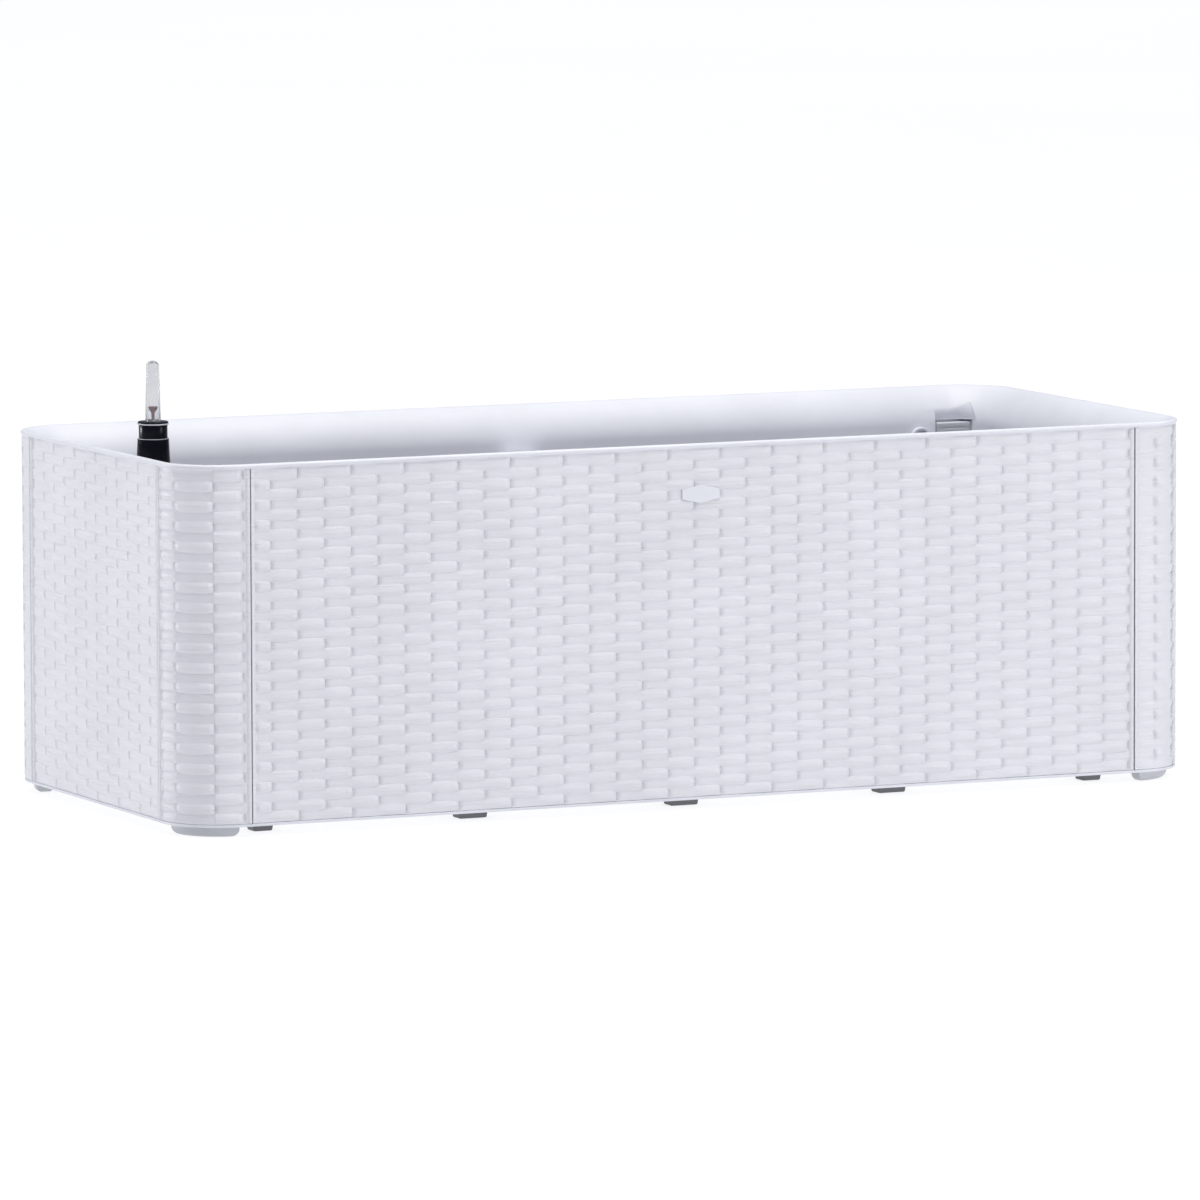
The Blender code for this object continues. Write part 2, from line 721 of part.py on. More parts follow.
def wicks(side, sx, look):
    """Felt wicks that hang through a grate into the reservoir."""
    made = []
    head_bottom = GRATE_TOP + GAP
    head_top = head_bottom + WICK_HEAD_THICK
    profile = [
        (0.0, WICK_BOTTOM),
        (WICK_RADIUS, WICK_BOTTOM),
        (WICK_RADIUS, head_bottom),
        (WICK_HEAD_RADIUS, head_bottom),
        (WICK_HEAD_RADIUS, head_top),
        (0.0, head_top),
    ]
    for k, (x, y) in enumerate(wick_places(sx)):
        bm = lathe_bm(profile, (x, y, 0), WICK_STEPS)
        made.append(add_mesh(f"wick_{side}_{k + 1}", bm, look, (x, y, GRATE_TOP)))
    return made


# ---------------------------------------------------------------- filler tube and gauge
def turned(name, profile, look, hollow=False):
    bm = lathe_bm(profile, (GAUGE_X, GAUGE_Y, 0), hollow=hollow)
    return add_mesh(name, bm, look, (GAUGE_X, GAUGE_Y, profile[0][1]))


def filler_tube(look):
    flange_bottom = GRATE_TOP + GAP
    flange_top = flange_bottom + TUBE_FLANGE_THICK
    loop = [
        (TUBE_BORE, TUBE_BOTTOM),
        (TUBE_RADIUS, TUBE_BOTTOM),
        (TUBE_RADIUS, flange_bottom),
        (TUBE_FLANGE_RADIUS, flange_bottom),
        (TUBE_FLANGE_RADIUS, flange_top),
        (TUBE_RADIUS, flange_top),
        (TUBE_RADIUS, TUBE_TAPER_Z),
        (TUBE_TOP_RADIUS, TUBE_TOP),
        (TUBE_BORE, TUBE_TOP),
    ]
    return turned("filler_tube", loop, look, hollow=True)


def gauge(looks):
    """The lift-out gauge: collar in the tube's mouth, bezel and clear sight tube on top."""
    seat = TUBE_TOP + GAP
    collar_loop = [
        (COLLAR_BORE, COLLAR_BOTTOM),
        (COLLAR_PLUG_RADIUS, COLLAR_BOTTOM),
        (COLLAR_PLUG_RADIUS, seat),
        (COLLAR_RADIUS, seat),
        (COLLAR_RADIUS, COLLAR_TOP),
        (COLLAR_BORE, COLLAR_TOP),
    ]
    bezel_bottom = COLLAR_TOP + GAP
    bezel_loop = [
        (COLLAR_BORE, bezel_bottom),
        (BEZEL_RADIUS - BEZEL_EDGE, bezel_bottom),
        (BEZEL_RADIUS, bezel_bottom + BEZEL_EDGE),
        (BEZEL_RADIUS, BEZEL_TOP - BEZEL_EDGE),
        (BEZEL_RADIUS - BEZEL_EDGE, BEZEL_TOP),
        (COLLAR_BORE, BEZEL_TOP),
    ]
    dome_z = SIGHT_TOP - SIGHT_DOME
    outer = [(SIGHT_RADIUS, SIGHT_BOTTOM), (SIGHT_TOP_RADIUS, dome_z)]
    inner = [(radius - SIGHT_WALL, z) for radius, z in outer]
    for k in range(1, SIGHT_DOME_STEPS + 1):
        angle = math.pi / 2 * k / SIGHT_DOME_STEPS
        outer.append((SIGHT_TOP_RADIUS * math.cos(angle), dome_z + SIGHT_DOME * math.sin(angle)))
        inner_radius = (SIGHT_TOP_RADIUS - SIGHT_WALL) * math.cos(angle)
        inner_rise = (SIGHT_DOME - SIGHT_WALL) * math.sin(angle)
        inner.append((inner_radius, dome_z + inner_rise))
    outer[-1] = (0.0, outer[-1][1])
    inner[-1] = (0.0, inner[-1][1])
    return [
        turned("gauge_collar", collar_loop, looks["black"], hollow=True),
        turned("gauge_bezel", bezel_loop, looks["black"], hollow=True),
        turned("sight_tube", outer[::-1] + inner, looks["clear"]),
    ]


def float_parts(looks):
    """What rises with the water: the float, its rod and the red head in the sight tube."""
    rod_bottom = FLOAT_TOP + GAP
    rod_top = STEM_BOTTOM - GAP
    float_profile = [
        (0.0, FLOAT_BOTTOM),
        (FLOAT_RADIUS - FLOAT_EDGE, FLOAT_BOTTOM),
        (FLOAT_RADIUS, FLOAT_BOTTOM + FLOAT_EDGE),
        (FLOAT_RADIUS, FLOAT_TOP - FLOAT_EDGE),
        (FLOAT_RADIUS - FLOAT_EDGE, FLOAT_TOP),
        (0.0, FLOAT_TOP),
    ]
    rod_profile = [(0.0, rod_bottom), (ROD_RADIUS, rod_bottom), (ROD_RADIUS, rod_top), (0.0, rod_top)]
    head_profile = [
        (0.0, STEM_BOTTOM),
        (STEM_RADIUS, STEM_BOTTOM),
        (STEM_RADIUS, HEAD_BOTTOM - HEAD_FLARE),
        (HEAD_RADIUS, HEAD_BOTTOM),
        (HEAD_RADIUS, HEAD_TOP - HEAD_EDGE),
        (HEAD_RADIUS - HEAD_EDGE, HEAD_TOP),
        (0.0, HEAD_TOP),
    ]
    return [
        turned("float", float_profile, looks["foam"]),
        turned("float_rod", rod_profile, looks["white"]),
        turned("indicator_head", head_profile, looks["red"]),
    ]


# ---------------------------------------------------------------- overflow plug
def overflow_plug(looks):
    head_back = PORT_FACE_X + GAP
    head_front = head_back + PLUG_HEAD_THICK
    half_groove = SEAL_WIDTH / 2 + GAP
    outline = [
        (0.0, PLUG_TIP_X),
        (PLUG_SHAFT_RADIUS - PLUG_TIP_EDGE, PLUG_TIP_X),
        (PLUG_SHAFT_RADIUS, PLUG_TIP_X + PLUG_TIP_EDGE),
        (PLUG_SHAFT_RADIUS, SEAL_PLACE_X - half_groove),
        (SEAL_GROOVE_RADIUS, SEAL_PLACE_X - half_groove),
        (SEAL_GROOVE_RADIUS, SEAL_PLACE_X + half_groove),
        (PLUG_SHAFT_RADIUS, SEAL_PLACE_X + half_groove),
        (PLUG_SHAFT_RADIUS, head_back),
        (PLUG_HEAD_RADIUS, head_back),
        (PLUG_HEAD_RADIUS, head_front),
        (0.0, head_front),
    ]
    origin = Vector((head_back, 0, PORT_Z))
    bm = lathe_bm([(r, x) for r, x in outline], (0, 0, PORT_Z), along_x=True)
    plug = add_mesh("overflow_plug", bm, looks["grey"], origin)
    grip_y, grip_z = PLUG_GRIP_SIZE
    grip_low = (head_front - PLUG_GRIP_OVERLAP, -grip_y, PORT_Z - grip_z)
    grip_high = (LENGTH / 2 - GAP, grip_y, PORT_Z + grip_z)
    boolean(plug, cutter("plug_grip", box_bm(grip_low, grip_high)), "UNION")
    half = SEAL_WIDTH / 2
    loop = [
        (SEAL_INNER_RADIUS, SEAL_PLACE_X - half),
        (SEAL_RADIUS, SEAL_PLACE_X - half),
        (SEAL_RADIUS, SEAL_PLACE_X + half),
        (SEAL_INNER_RADIUS, SEAL_PLACE_X + half),
    ]
    ring = lathe_bm(loop, (0, 0, PORT_Z), hollow=True, along_x=True)
    seal = add_mesh("plug_seal", ring, looks["rubber"], origin)
    return [plug, seal]


# ---------------------------------------------------------------- assembly
def main():
    clear_scene()
    looks = make_materials()
    base_tray(looks["white"])
    corner_feet(looks["grey"])
    base_feet(looks["foot"])
    inner_tub(looks["white"])
    cladding(looks["woven"])
    corner_covers(looks["woven"])
    badge_plate(looks["white"])
    corner_locks(looks["grey"])
    wall_grommets(looks["white"])
    cross_brace(looks["white"])
    brace_brackets(looks["white"])
    centre_bridge(looks["grate"])

    left_lift = pivot_at("grate_left_lift", (-LEG_X[1], 0, GRATE_TOP))
    left = [grate("grate_left", -1, looks["grate"]), filler_tube(looks["black"])]
    attach(left + wicks("left", -1, looks["felt"]), left_lift)
    right_lift = pivot_at("grate_right_lift", (LEG_X[1], 0, GRATE_TOP))
    right = [grate("grate_right", 1, looks["grate"])]
    attach(right + wicks("right", 1, looks["felt"]), right_lift)

    gauge_lift = pivot_at("gauge_lift", (GAUGE_X, GAUGE_Y, TUBE_TOP), left_lift)
    attach(gauge(looks), gauge_lift)
    float_lift = pivot_at("float_lift", (GAUGE_X, GAUGE_Y, FLOAT_BOTTOM), gauge_lift)
    attach(float_parts(looks), float_lift)
    plug_pull = pivot_at("plug_pull", (PORT_FACE_X, 0, PORT_Z))
    attach(overflow_plug(looks), plug_pull)


main()
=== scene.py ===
"""Looks for the self watering planter: woven cladding, liner tub, false floor and float gauge."""

import math

import bmesh
import bpy
import numpy as np
from mathutils import Matrix, Vector


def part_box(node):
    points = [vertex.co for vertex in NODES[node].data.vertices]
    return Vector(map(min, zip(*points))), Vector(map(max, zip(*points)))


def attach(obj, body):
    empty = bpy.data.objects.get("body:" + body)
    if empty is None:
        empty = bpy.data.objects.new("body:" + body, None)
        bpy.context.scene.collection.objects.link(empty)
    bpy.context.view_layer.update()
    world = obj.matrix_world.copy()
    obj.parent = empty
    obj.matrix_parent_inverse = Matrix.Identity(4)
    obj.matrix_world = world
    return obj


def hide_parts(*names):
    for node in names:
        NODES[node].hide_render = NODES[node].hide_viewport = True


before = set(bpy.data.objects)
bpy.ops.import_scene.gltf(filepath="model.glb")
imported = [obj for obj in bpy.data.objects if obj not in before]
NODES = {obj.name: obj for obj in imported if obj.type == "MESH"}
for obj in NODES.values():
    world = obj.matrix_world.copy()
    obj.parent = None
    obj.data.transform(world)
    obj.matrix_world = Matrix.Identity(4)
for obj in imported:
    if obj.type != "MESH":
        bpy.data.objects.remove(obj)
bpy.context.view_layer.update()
RIM_LOW, RIM_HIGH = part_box("inner_tub")
LENGTH = RIM_HIGH.x - RIM_LOW.x
WIDTH = RIM_HIGH.y - RIM_LOW.y
RIM_TOP = RIM_HIGH.z
CORNERS = {"front_left": (-1, -1), "front_right": (1, -1), "back_left": (-1, 1), "back_right": (1, 1)}

# ---- named values (metres)
CORNER_RADIUS = 0.055
CORNER_STEPS = 28
CENTRE_X = LENGTH / 2 - CORNER_RADIUS
CENTRE_Y = WIDTH / 2 - CORNER_RADIUS

# Weave
ROWS = 35
ROW_PITCH = 0.008906
WEAVE_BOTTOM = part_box("front_panel")[0].z
WEAVE_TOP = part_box("front_panel")[1].z + 0.0005
BAND_STEPS = (0.0, 0.07, 0.20, 0.38, 0.62, 0.80, 0.93)
PANEL_RECESS = 0.0021
COVER_RECESS = 0.0017
BACK_INSET = 0.0048
BULGE = 0.00115
BULGE_FULL = 0.0185
BULGE_END = 0.031
GROOVE_DEPTH = 0.0021
END_RELIEF = 0.50
COVER_RELIEF = 0.75
COVER_SINK = 0.0010
PINCH_REACH = 0.0075
PINCH_DEPTH = 0.0006
CREASE_DEPTH = 0.00030
DOME_POWER = 2.2
CREASE_SHIFT = 0.00045
LENS_RISE = 0.0090
LENS_FALL = (0.0170, 0.0330)
SEAM_REACH = 0.0004
SEAM_FRONT = 0.0031
SEAM_BACK = 0.0052
SEAM_OUTSIDE = 0.0005
SEAM_HALF = 0.0009
SEAM_END = 0.001
SEAM_EDGE = 0.0002
THIN_GAP = (0.0003, 0.0008)
THICK_GAP = (0.0009, 0.0015)
STRIP_HEIGHT = 0.00085
STRIP_STEPS = (0.0, 0.0004, 0.0009, 0.0035, 0.0040, 0.0047)
STRIP_EDGE = -0.0005
STRIP_FOLD = -0.0001
ROW_WOBBLE = (0.07, 61.0)
LINE_WOBBLE = (0.00012, 43.0)
TURN = 6.28
FILL_STEP = 0.0046
FRONT_FIRST_GAP = -0.4161
FRONT_PITCH = 0.02563
FRONT_GAPS = 34
SIDE_FIRST_GAP = 0.0204
SIDE_PITCH = 0.02498
SIDE_GAPS = 12
SIDE_SEAM_GAP = 0.001
COVER_STRAIGHT = 0.009
COVER_ARC_RADIUS = CORNER_RADIUS - 0.0015
# Each gap: place, kind of row, side the strand bulges on, (half width at the floor, at the top)
LEFT_COVER_GAPS = (
    (0.0069, 1, 1, THICK_GAP),
    (0.0951, 1, -1, THICK_GAP),
    (0.0337, 2, 1, THIN_GAP),
    (0.0720, 2, -1, THIN_GAP),
)
RIGHT_COVER_GAPS = (
    (0.0218, 2, 1, THIN_GAP),
    (0.0802, 2, -1, THIN_GAP),
    (0.0510, 1, -1, THIN_GAP),
    (0.0510, 1, 1, THIN_GAP),
)
FRONT_SEED = 11
SIDE_SEED = 21
COVER_SEED = 31

# Liner tub
FLOOR_TOP = 0.0147
WALL_FOOT_INSET = 0.0360
FLOOR_FILLET = ((0.006, 0.0), (0.002, 0.0006), (0.0, 0.003))
SKIN = 0.0022
SHOULDER = ((0.0310, 0.2950), (0.0300, 0.3120), (0.0120, 0.3290), (0.0048, 0.3298))
SHOULDER_STEPS = 18
BEAD_RADIUS = 0.0022
BEAD_STEPS = 14
CHANNEL_LOW = Vector((0.4300, 0.1200, 0.0187))
CHANNEL_HIGH = Vector((0.4665, 0.1893, 0.3215))
BOSS_LOW = Vector((0.4280, 0.1615, 0.0167))
BOSS_HIGH = Vector((0.4685, 0.1955, 0.3262))
CHANNEL_ROUND = 0.0028
SCOOP_LEVELS = (0.10, 0.20, 0.27)
SCOOP_FADE_FROM = 0.3000
SCOOP_TOP = 0.3260
SCOOP_DEPTH = 0.0055
SCOOP_CLEAR = 0.0004
SCOOP_POWER = 2.5
SCOOP_ROUND_STEPS = 6
SCOOP_FLAT_STEPS = 8
SCOOP_FADE_STEPS = 20
LEDGE_Z = 0.2992
LEDGE_STEP = 0.0002
LEDGE_DEPTH = 0.0018
RUN_STEPS = (0.04, 0.12, 0.30, 0.50, 0.70, 0.88, 0.96)
PORT_RADII = (0.0056, 0.0085)
PORT_BORE = 0.0070
PORT_FACE_BACK = 0.0055
PORT_WALL_BACK = 0.0015
PORT_REACH = 0.012
PORT_CUT = 0.03
PANEL_PORT_RADIUS = 0.0092
PANEL_PORT_CUT = (0.46, 0.52)

# Tray and feet
TRAY_RIB_DEPTH = 0.0022
TRAY_RIB_HALF = 0.0012
TRAY_RIB_OVERLAP = 0.0003
TRAY_RIB_EDGE = 0.0005
TRAY_RIB_PITCH = 0.10375
TRAY_RIB_ROWS = (-0.110, -0.055, 0.0, 0.055, 0.110)
TRAY_RIB_RUN = (0.44, 0.150)
FOOT_OUTER = CORNER_RADIUS - 0.009
FOOT_INNER = FOOT_OUTER - 0.016
FOOT_ROUND = 0.0070
FOOT_ROUND_STEPS = 8
FOOT_ARC_POINTS = 25
FOOT_INNER_SHARE = 0.3

# Lock posts, ring bosses and brace
LOCK_ACROSS = 23
LOCK_UP = 220
LOCK_HEAD = 0.003
LOCK_HEAD_FROM = 0.0027
LOCK_HEAD_STEPS = 8
LOCK_RIB_PITCH = 0.0036
LOCK_RIB_DEPTH = 0.0007
LOCK_BOW = 0.0012
LOCK_RIB_FADE = 0.12
LOCK_LEDGE = 0.0032
LOCK_LEDGE_FADE = 0.0012
LOCK_TOP_ROUND = 0.0014
LOCK_TOP_DEPTH = 0.0012
LOCK_SIDE_SHARE = 0.03
LOCK_SIDE_DEPTH = 0.0005
RING_HOLE_SHARE = 0.686
BRACE_WALL = 0.0022
BRACE_RIB_PITCH = 0.036
BRACE_RIB_HALF = 0.0009
BRACE_RIB_LIFT = 0.003
BRACE_RIB_EDGE = 0.0003

# False floor
GRATE_RIB_X = (0.0975, 0.1525, 0.2075, 0.2625, 0.3175, 0.3725)
GRATE_RIB_RUNS = ((-0.168, -0.098), (-0.067, 0.067), (0.098, 0.168))
GRATE_RIB_SINK = 0.0005
GRATE_RIB_HALF = 0.0010
GRATE_RIB_RISE = 0.0016
GRATE_RIB_EDGE = 0.0004
GRATE_LIP_X = (0.024, 0.425)
GRATE_LIP_Y = 0.1705
GRATE_LIP_HALF = 0.0011
GRATE_LIP_RISE = 0.0024
GRATE_LIP_EDGE = 0.0005
MIDDLE_LIP_X = (0.0215, 0.0237)
MIDDLE_LIP_Y = 0.165
WICK_RADIUS = 0.0079
WICK_HEAD = 0.003

# Filler tube and gauge
NODE_GAP = 0.0003
TUBE_BORE = 0.0126
TUBE_RADIUS = 0.0153
TUBE_MOUTH = 0.0141
TUBE_TAPER_Z = 0.3100
FLANGE_RADIUS = 0.0200
FLANGE_THICK = 0.003
ROD_BORE = 0.0024
COLLAR_RADIUS = 0.0121
COLLAR_LIP = 0.0129
BEZEL_EDGE_Z = 0.0019
BEZEL_DRAW = 0.0007
# The ring round the bezel's foot is a painted highlight: a light grey ring standing for the glint on the
# gauge's glossy black lip.
BEZEL_HIGHLIGHT_RING = (0.0016, 0.0003)
BEZEL_HIGHLIGHT_RING_Z = (0.0001, 0.0012)
# The ring at the tube's mouth is a painted highlight: a light grey ring standing for the glint on the mouth's
# glossy edge.
MOUTH_HIGHLIGHT_RING = (0.0129, 0.0137)
MOUTH_HIGHLIGHT_RING_Z = (0.0005, 0.0002)
SIGHT_RADIUS = 0.0057
SIGHT_FOOT_RADIUS = 0.0068
SIGHT_WALL = 0.0009
SIGHT_DOME = 0.0042
SIGHT_DOME_STEPS = 12
HEAD_NECK = ((0.0013, 0.3560), (0.0018, 0.3580), (0.0044, 0.3615))
SEAL_RADIUS = 0.0046
SEAL_HALF = (0.0008, 0.0014)
SEAL_STEPS = 14

# Floor, light and camera
FLOOR_GLOW = 0.78
FLOOR_BOUNCE = 0.58
SKY_LOW = (0.13, 0.134, 0.145)
SKY_MIDDLE = (0.50, 0.54, 0.645)
SKY_HIGH = (0.97, 0.955, 0.93)
SKY_STRENGTH = 0.90
# name: (azimuth from -Y towards -X in degrees, height, distance, (width, height), watts, tint)
LIGHTS = {
    "key_left": (130, 0.17, 4.0, (1.2, 0.28), 34, (1.0, 0.995, 0.985)),
    "key_right": (-42, 0.17, 4.2, (1.2, 0.28), 32, (0.99, 0.99, 1.0)),
    "top": (10, 3.6, 0.6, (3.0, 3.0), 90, (1.0, 0.972, 0.925)),
}
LIGHT_AIM = Vector((0, 0, 0.2))
CAMERA_PLACE = (-4.217, -9.237, 1.277)
CAMERA_YAW = 24.53
CAMERA_PITCH = 6.232
CAMERA_ROLL = -0.183
CAMERA_LENS = 336.2

GAUGE_AXIS = (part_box("gauge_bezel")[0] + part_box("gauge_bezel")[1]) / 2
PORT_LOW, PORT_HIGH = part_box("overflow_plug")
PORT_Z = (PORT_LOW.z + PORT_HIGH.z) / 2
ROUND = 72


# ---- node materials
class Tree:
    """A material's node tree with short calls to add and link nodes."""

    def __init__(self, name):
        self.material = bpy.data.materials.new(name)
        self.material.use_nodes = True
        self.tree = self.material.node_tree
        self.shader = self.tree.nodes["Principled BSDF"]
        self.place = self.add("ShaderNodeTexCoord").outputs["Object"]

    def add(self, kind, **settings):
        node = self.tree.nodes.new(kind)
        for key, value in settings.items():
            setattr(node, key, value)
        return node

    def link(self, a, b):
        self.tree.links.new(a, b)

    def mapped(self, stretch):
        mapping = self.add("ShaderNodeMapping")
        mapping.inputs["Scale"].default_value = stretch
        self.link(self.place, mapping.inputs["Vector"])
        return mapping.outputs["Vector"]

    def noise(self, scale, stretch=(1, 1, 1), detail=4.0, roughness=0.6):
        node = self.add("ShaderNodeTexNoise")
        node.inputs["Scale"].default_value = scale
        node.inputs["Detail"].default_value = detail
        node.inputs["Roughness"].default_value = roughness
        self.link(self.mapped(stretch), node.inputs["Vector"])
        return node.outputs["Fac"]

    def cells(self, scale):
        node = self.add("ShaderNodeTexVoronoi")
        node.inputs["Scale"].default_value = scale
        self.link(self.mapped((1, 1, 1)), node.inputs["Vector"])
        return node.outputs["Distance"]

    def spread(self, value, low, high, source=(0.3, 0.7)):
        node = self.add("ShaderNodeMapRange")
        node.inputs["From Min"].default_value = source[0]
        node.inputs["From Max"].default_value = source[1]
        node.inputs["To Min"].default_value = low
        node.inputs["To Max"].default_value = high
        self.link(value, node.inputs["Value"])
        return node.outputs["Result"]

    def colour(self, value, low, high):
        node = self.add("ShaderNodeMix", data_type="RGBA")
        node.inputs["A"].default_value = (*low, 1.0)
        node.inputs["B"].default_value = (*high, 1.0)
        self.link(self.spread(value, 0.0, 1.0), node.inputs["Factor"])
        self.link(node.outputs["Result"], self.shader.inputs["Base Color"])

    def rough(self, value, low, high):
        self.link(self.spread(value, low, high), self.shader.inputs["Roughness"])

    def bump(self, values):
        """Chains (height, metres) pairs into one normal."""
        last = None
        for value, depth in values:
            node = self.add("ShaderNodeBump")
            node.inputs["Strength"].default_value = 1.0
            node.inputs["Distance"].default_value = depth
            self.link(value, node.inputs["Height"])
            if last:
                self.link(last, node.inputs["Normal"])
            last = node.outputs["Normal"]
        self.link(last, self.shader.inputs["Normal"])

    def set(self, **values):
        for key, value in values.items():
            self.shader.inputs[key.replace("_", " ")].default_value = value
        return self


def scaled(colour, factor):
    return tuple(min(1.0, part * factor) for part in colour)


def woven_material():
    """Satin white moulded strands, with fine lines drawn along them."""
    made = Tree("woven_white")
    base = (0.800, 0.800, 0.846)
    broad = made.noise(9.0, detail=3.0)
    made.colour(broad, scaled(base, 0.965), scaled(base, 1.02))
    strands = made.noise(1.0, stretch=(22, 22, 330), detail=2.0)
    lines = made.noise(1.0, stretch=(30, 30, 760), detail=3.0)
    made.rough(lines, 0.36, 0.52)
    made.bump(((strands, 0.00110), (lines, 0.00030), (made.noise(1400.0, detail=2.0), 0.00002)))
    return made.set(IOR=1.48).material


def moulded(name, colour, rough, grain=0.00003, spread=0.05, scale=900.0):
    """Injection-moulded plastic: a faint grain, slight blotches in tone and sheen."""
    made = Tree(name)
    made.colour(made.noise(11.0, detail=4.0), scaled(colour, 1 - spread), scaled(colour, 1 + spread / 2))
    made.rough(made.noise(60.0), rough - 0.05, rough + 0.07)
    made.bump(((made.noise(scale, detail=3.0), grain), (made.noise(22.0, detail=2.0), 0.00015)))
    return made.set(IOR=1.49).material


def felt_material():
    made = Tree("wick_felt")
    fibres = made.noise(700.0, stretch=(1, 1, 0.35), detail=6.0, roughness=0.75)
    made.colour(fibres, (0.56, 0.53, 0.46), (0.86, 0.84, 0.77))
    made.bump(((fibres, 0.0009), (made.noise(90.0), 0.0008)))
    made.set(Roughness=0.95)
    made.shader.inputs["Sheen Weight"].default_value = 0.4
    return made.material


def foam_material():
    made = Tree("float_foam")
    cells = made.cells(900.0)
    made.colour(cells, (0.74, 0.72, 0.64), (0.90, 0.88, 0.81))
    made.bump(((cells, 0.0004),))
    return made.set(Roughness=0.82).material


def gloss_material(name, dark, light, low, high):
    made = Tree(name)
    made.colour(made.noise(30.0), dark, light)
    made.rough(made.noise(45.0), low, high)
    made.bump(((made.noise(260.0, detail=2.0), 0.00001), (made.noise(35.0), 0.00006)))
    made.shader.inputs["Specular IOR Level"].default_value = 0.1
    return made.set(IOR=1.5).material


def clear_material():
    """Slightly hazy clear plastic."""
    made = Tree("clear_plastic")
    haze = made.noise(120.0, stretch=(1, 1, 0.2))
    made.colour(haze, (0.925, 0.925, 0.940), (0.96, 0.96, 0.97))
    made.rough(haze, 0.08, 0.18)
    made.bump(((made.noise(160.0, detail=2.0), 0.00004),))
    made.shader.inputs["Transmission Weight"].default_value = 0.88
    return made.set(IOR=1.16).material


WHITE = (0.800, 0.808, 0.845)
BLACK_DARK = (0.0035, 0.0045, 0.0085)
BLACK_LIGHT = (0.0060, 0.0070, 0.0120)
LOOKS = {
    "woven_white": woven_material(),
    "white_plastic": moulded("white_plastic", (0.790, 0.805, 0.865), 0.36),
    # grey_plastic dresses the overflow plug; on the corner feet and lock posts it is painted shade, and on
    # the two gauge rings it is painted highlight.
    "grey_plastic": moulded("grey_plastic", (0.565, 0.58, 0.62), 0.45),
    "dark_foot_plastic": moulded("dark_foot_plastic", (0.15, 0.155, 0.17), 0.55, grain=0.00008),
    "charcoal_plastic": moulded("charcoal_plastic", (0.060, 0.062, 0.066), 0.48, grain=0.00007),
    "wick_felt": felt_material(),
    "black_plastic": gloss_material("black_plastic", BLACK_DARK, BLACK_LIGHT, 0.16, 0.28),
    "clear_plastic": clear_material(),
    "red_plastic": gloss_material("red_plastic", (0.13, 0.0, 0.012), (0.21, 0.002, 0.022), 0.25, 0.38),
    "white_rod": moulded("white_rod", WHITE, 0.35),
    "float_foam": foam_material(),
    "black_rubber": moulded("black_rubber", (0.026, 0.026, 0.027), 0.70, grain=0.00010),
}


# ---- mesh helpers
def make_object(name, mesh):
    obj = bpy.data.objects.new(name, mesh)
    bpy.context.scene.collection.objects.link(obj)
    return obj


def finish_piece(obj, slot, body, *nodes):
    obj.data.materials.clear()
    obj.data.materials.append(LOOKS[slot])
    if nodes:
        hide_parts(*nodes)
    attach(obj, body)
    return obj


def from_bmesh(name, bm, sharp_degrees=35):
    bmesh.ops.recalc_face_normals(bm, faces=bm.faces)
    mesh = bpy.data.meshes.new(name)
    bm.to_mesh(mesh)
    bm.free()
    mesh.shade_smooth()
    mesh.set_sharp_from_angle(angle=math.radians(sharp_degrees))
    return make_object(name, mesh)


def bevel(obj, width, segments):
    made = obj.modifiers.new("edges", "BEVEL")
    made.width = width
    made.segments = segments
    made.limit_method = "ANGLE"
    made.angle_limit = math.radians(30)
    made.harden_normals = True
    made.use_clamp_overlap = True
    return obj


def apply_modifiers(obj):
    graph = bpy.context.evaluated_depsgraph_get()
    mesh = bpy.data.meshes.new_from_object(obj.evaluated_get(graph), depsgraph=graph)
    old = obj.data
    obj.modifiers.clear()
    obj.data = mesh
    bpy.data.meshes.remove(old)
    return obj


def cut(obj, tool, operation="DIFFERENCE"):
    made = obj.modifiers.new(tool.name, "BOOLEAN")
    made.operation = operation
    made.object = tool
    made.solver = "EXACT"
    bpy.context.view_layer.update()
    apply_modifiers(obj)
    bpy.data.objects.remove(tool)
    return obj


def box_bm(low, high):
    bm = bmesh.new()
    bmesh.ops.create_cube(bm, size=1.0)
    size = Vector(high) - Vector(low)
    centre = (Vector(high) + Vector(low)) / 2
    place = Matrix.Translation(centre) @ Matrix.Diagonal((*size, 1.0))
    bmesh.ops.transform(bm, matrix=place, verts=bm.verts)
    return bm


def merge_bm(parts):
    merged = bmesh.new()
    for bm in parts:
        mesh = bpy.data.meshes.new("part")
        bm.to_mesh(mesh)
        bm.free()
        merged.from_mesh(mesh)
        bpy.data.meshes.remove(mesh)
    return merged


def bevelled_box(low, high, width, segments=3):
    bm = box_bm(low, high)
    bmesh.ops.bevel(bm, geom=bm.edges[:], offset=width, segments=segments, affect="EDGES", profile=0.5)
    return bm


def join_rings(bm, lower, upper):
    count = len(lower)
    for i in range(count):
        j = (i + 1) % count
        bm.faces.new((lower[i], lower[j], upper[j], upper[i]))


def lathe_bm(profile, steps=ROUND, hollow=False):
    """Turns (radius, height) points round Z. A hollow profile is a closed loop."""
    bm = bmesh.new()
    rings = []
    for radius, height in profile:
        if radius <= 1e-6:
            rings.append([bm.verts.new((0, 0, height))])
            continue
        turns = [2 * math.pi * k / steps for k in range(steps)]
        rings.append([bm.verts.new((radius * math.cos(a), radius * math.sin(a), height)) for a in turns])
    pairs = list(zip(rings, rings[1:]))
    if hollow:
        pairs.append((rings[-1], rings[0]))
    for lower, upper in pairs:
        for k in range(steps):
            n = (k + 1) % steps
            if len(lower) == 1:
                bm.faces.new((lower[0], upper[n], upper[k]))
            elif len(upper) == 1:
                bm.faces.new((lower[k], lower[n], upper[0]))
            else:
                bm.faces.new((lower[k], lower[n], upper[n], upper[k]))
    return bm


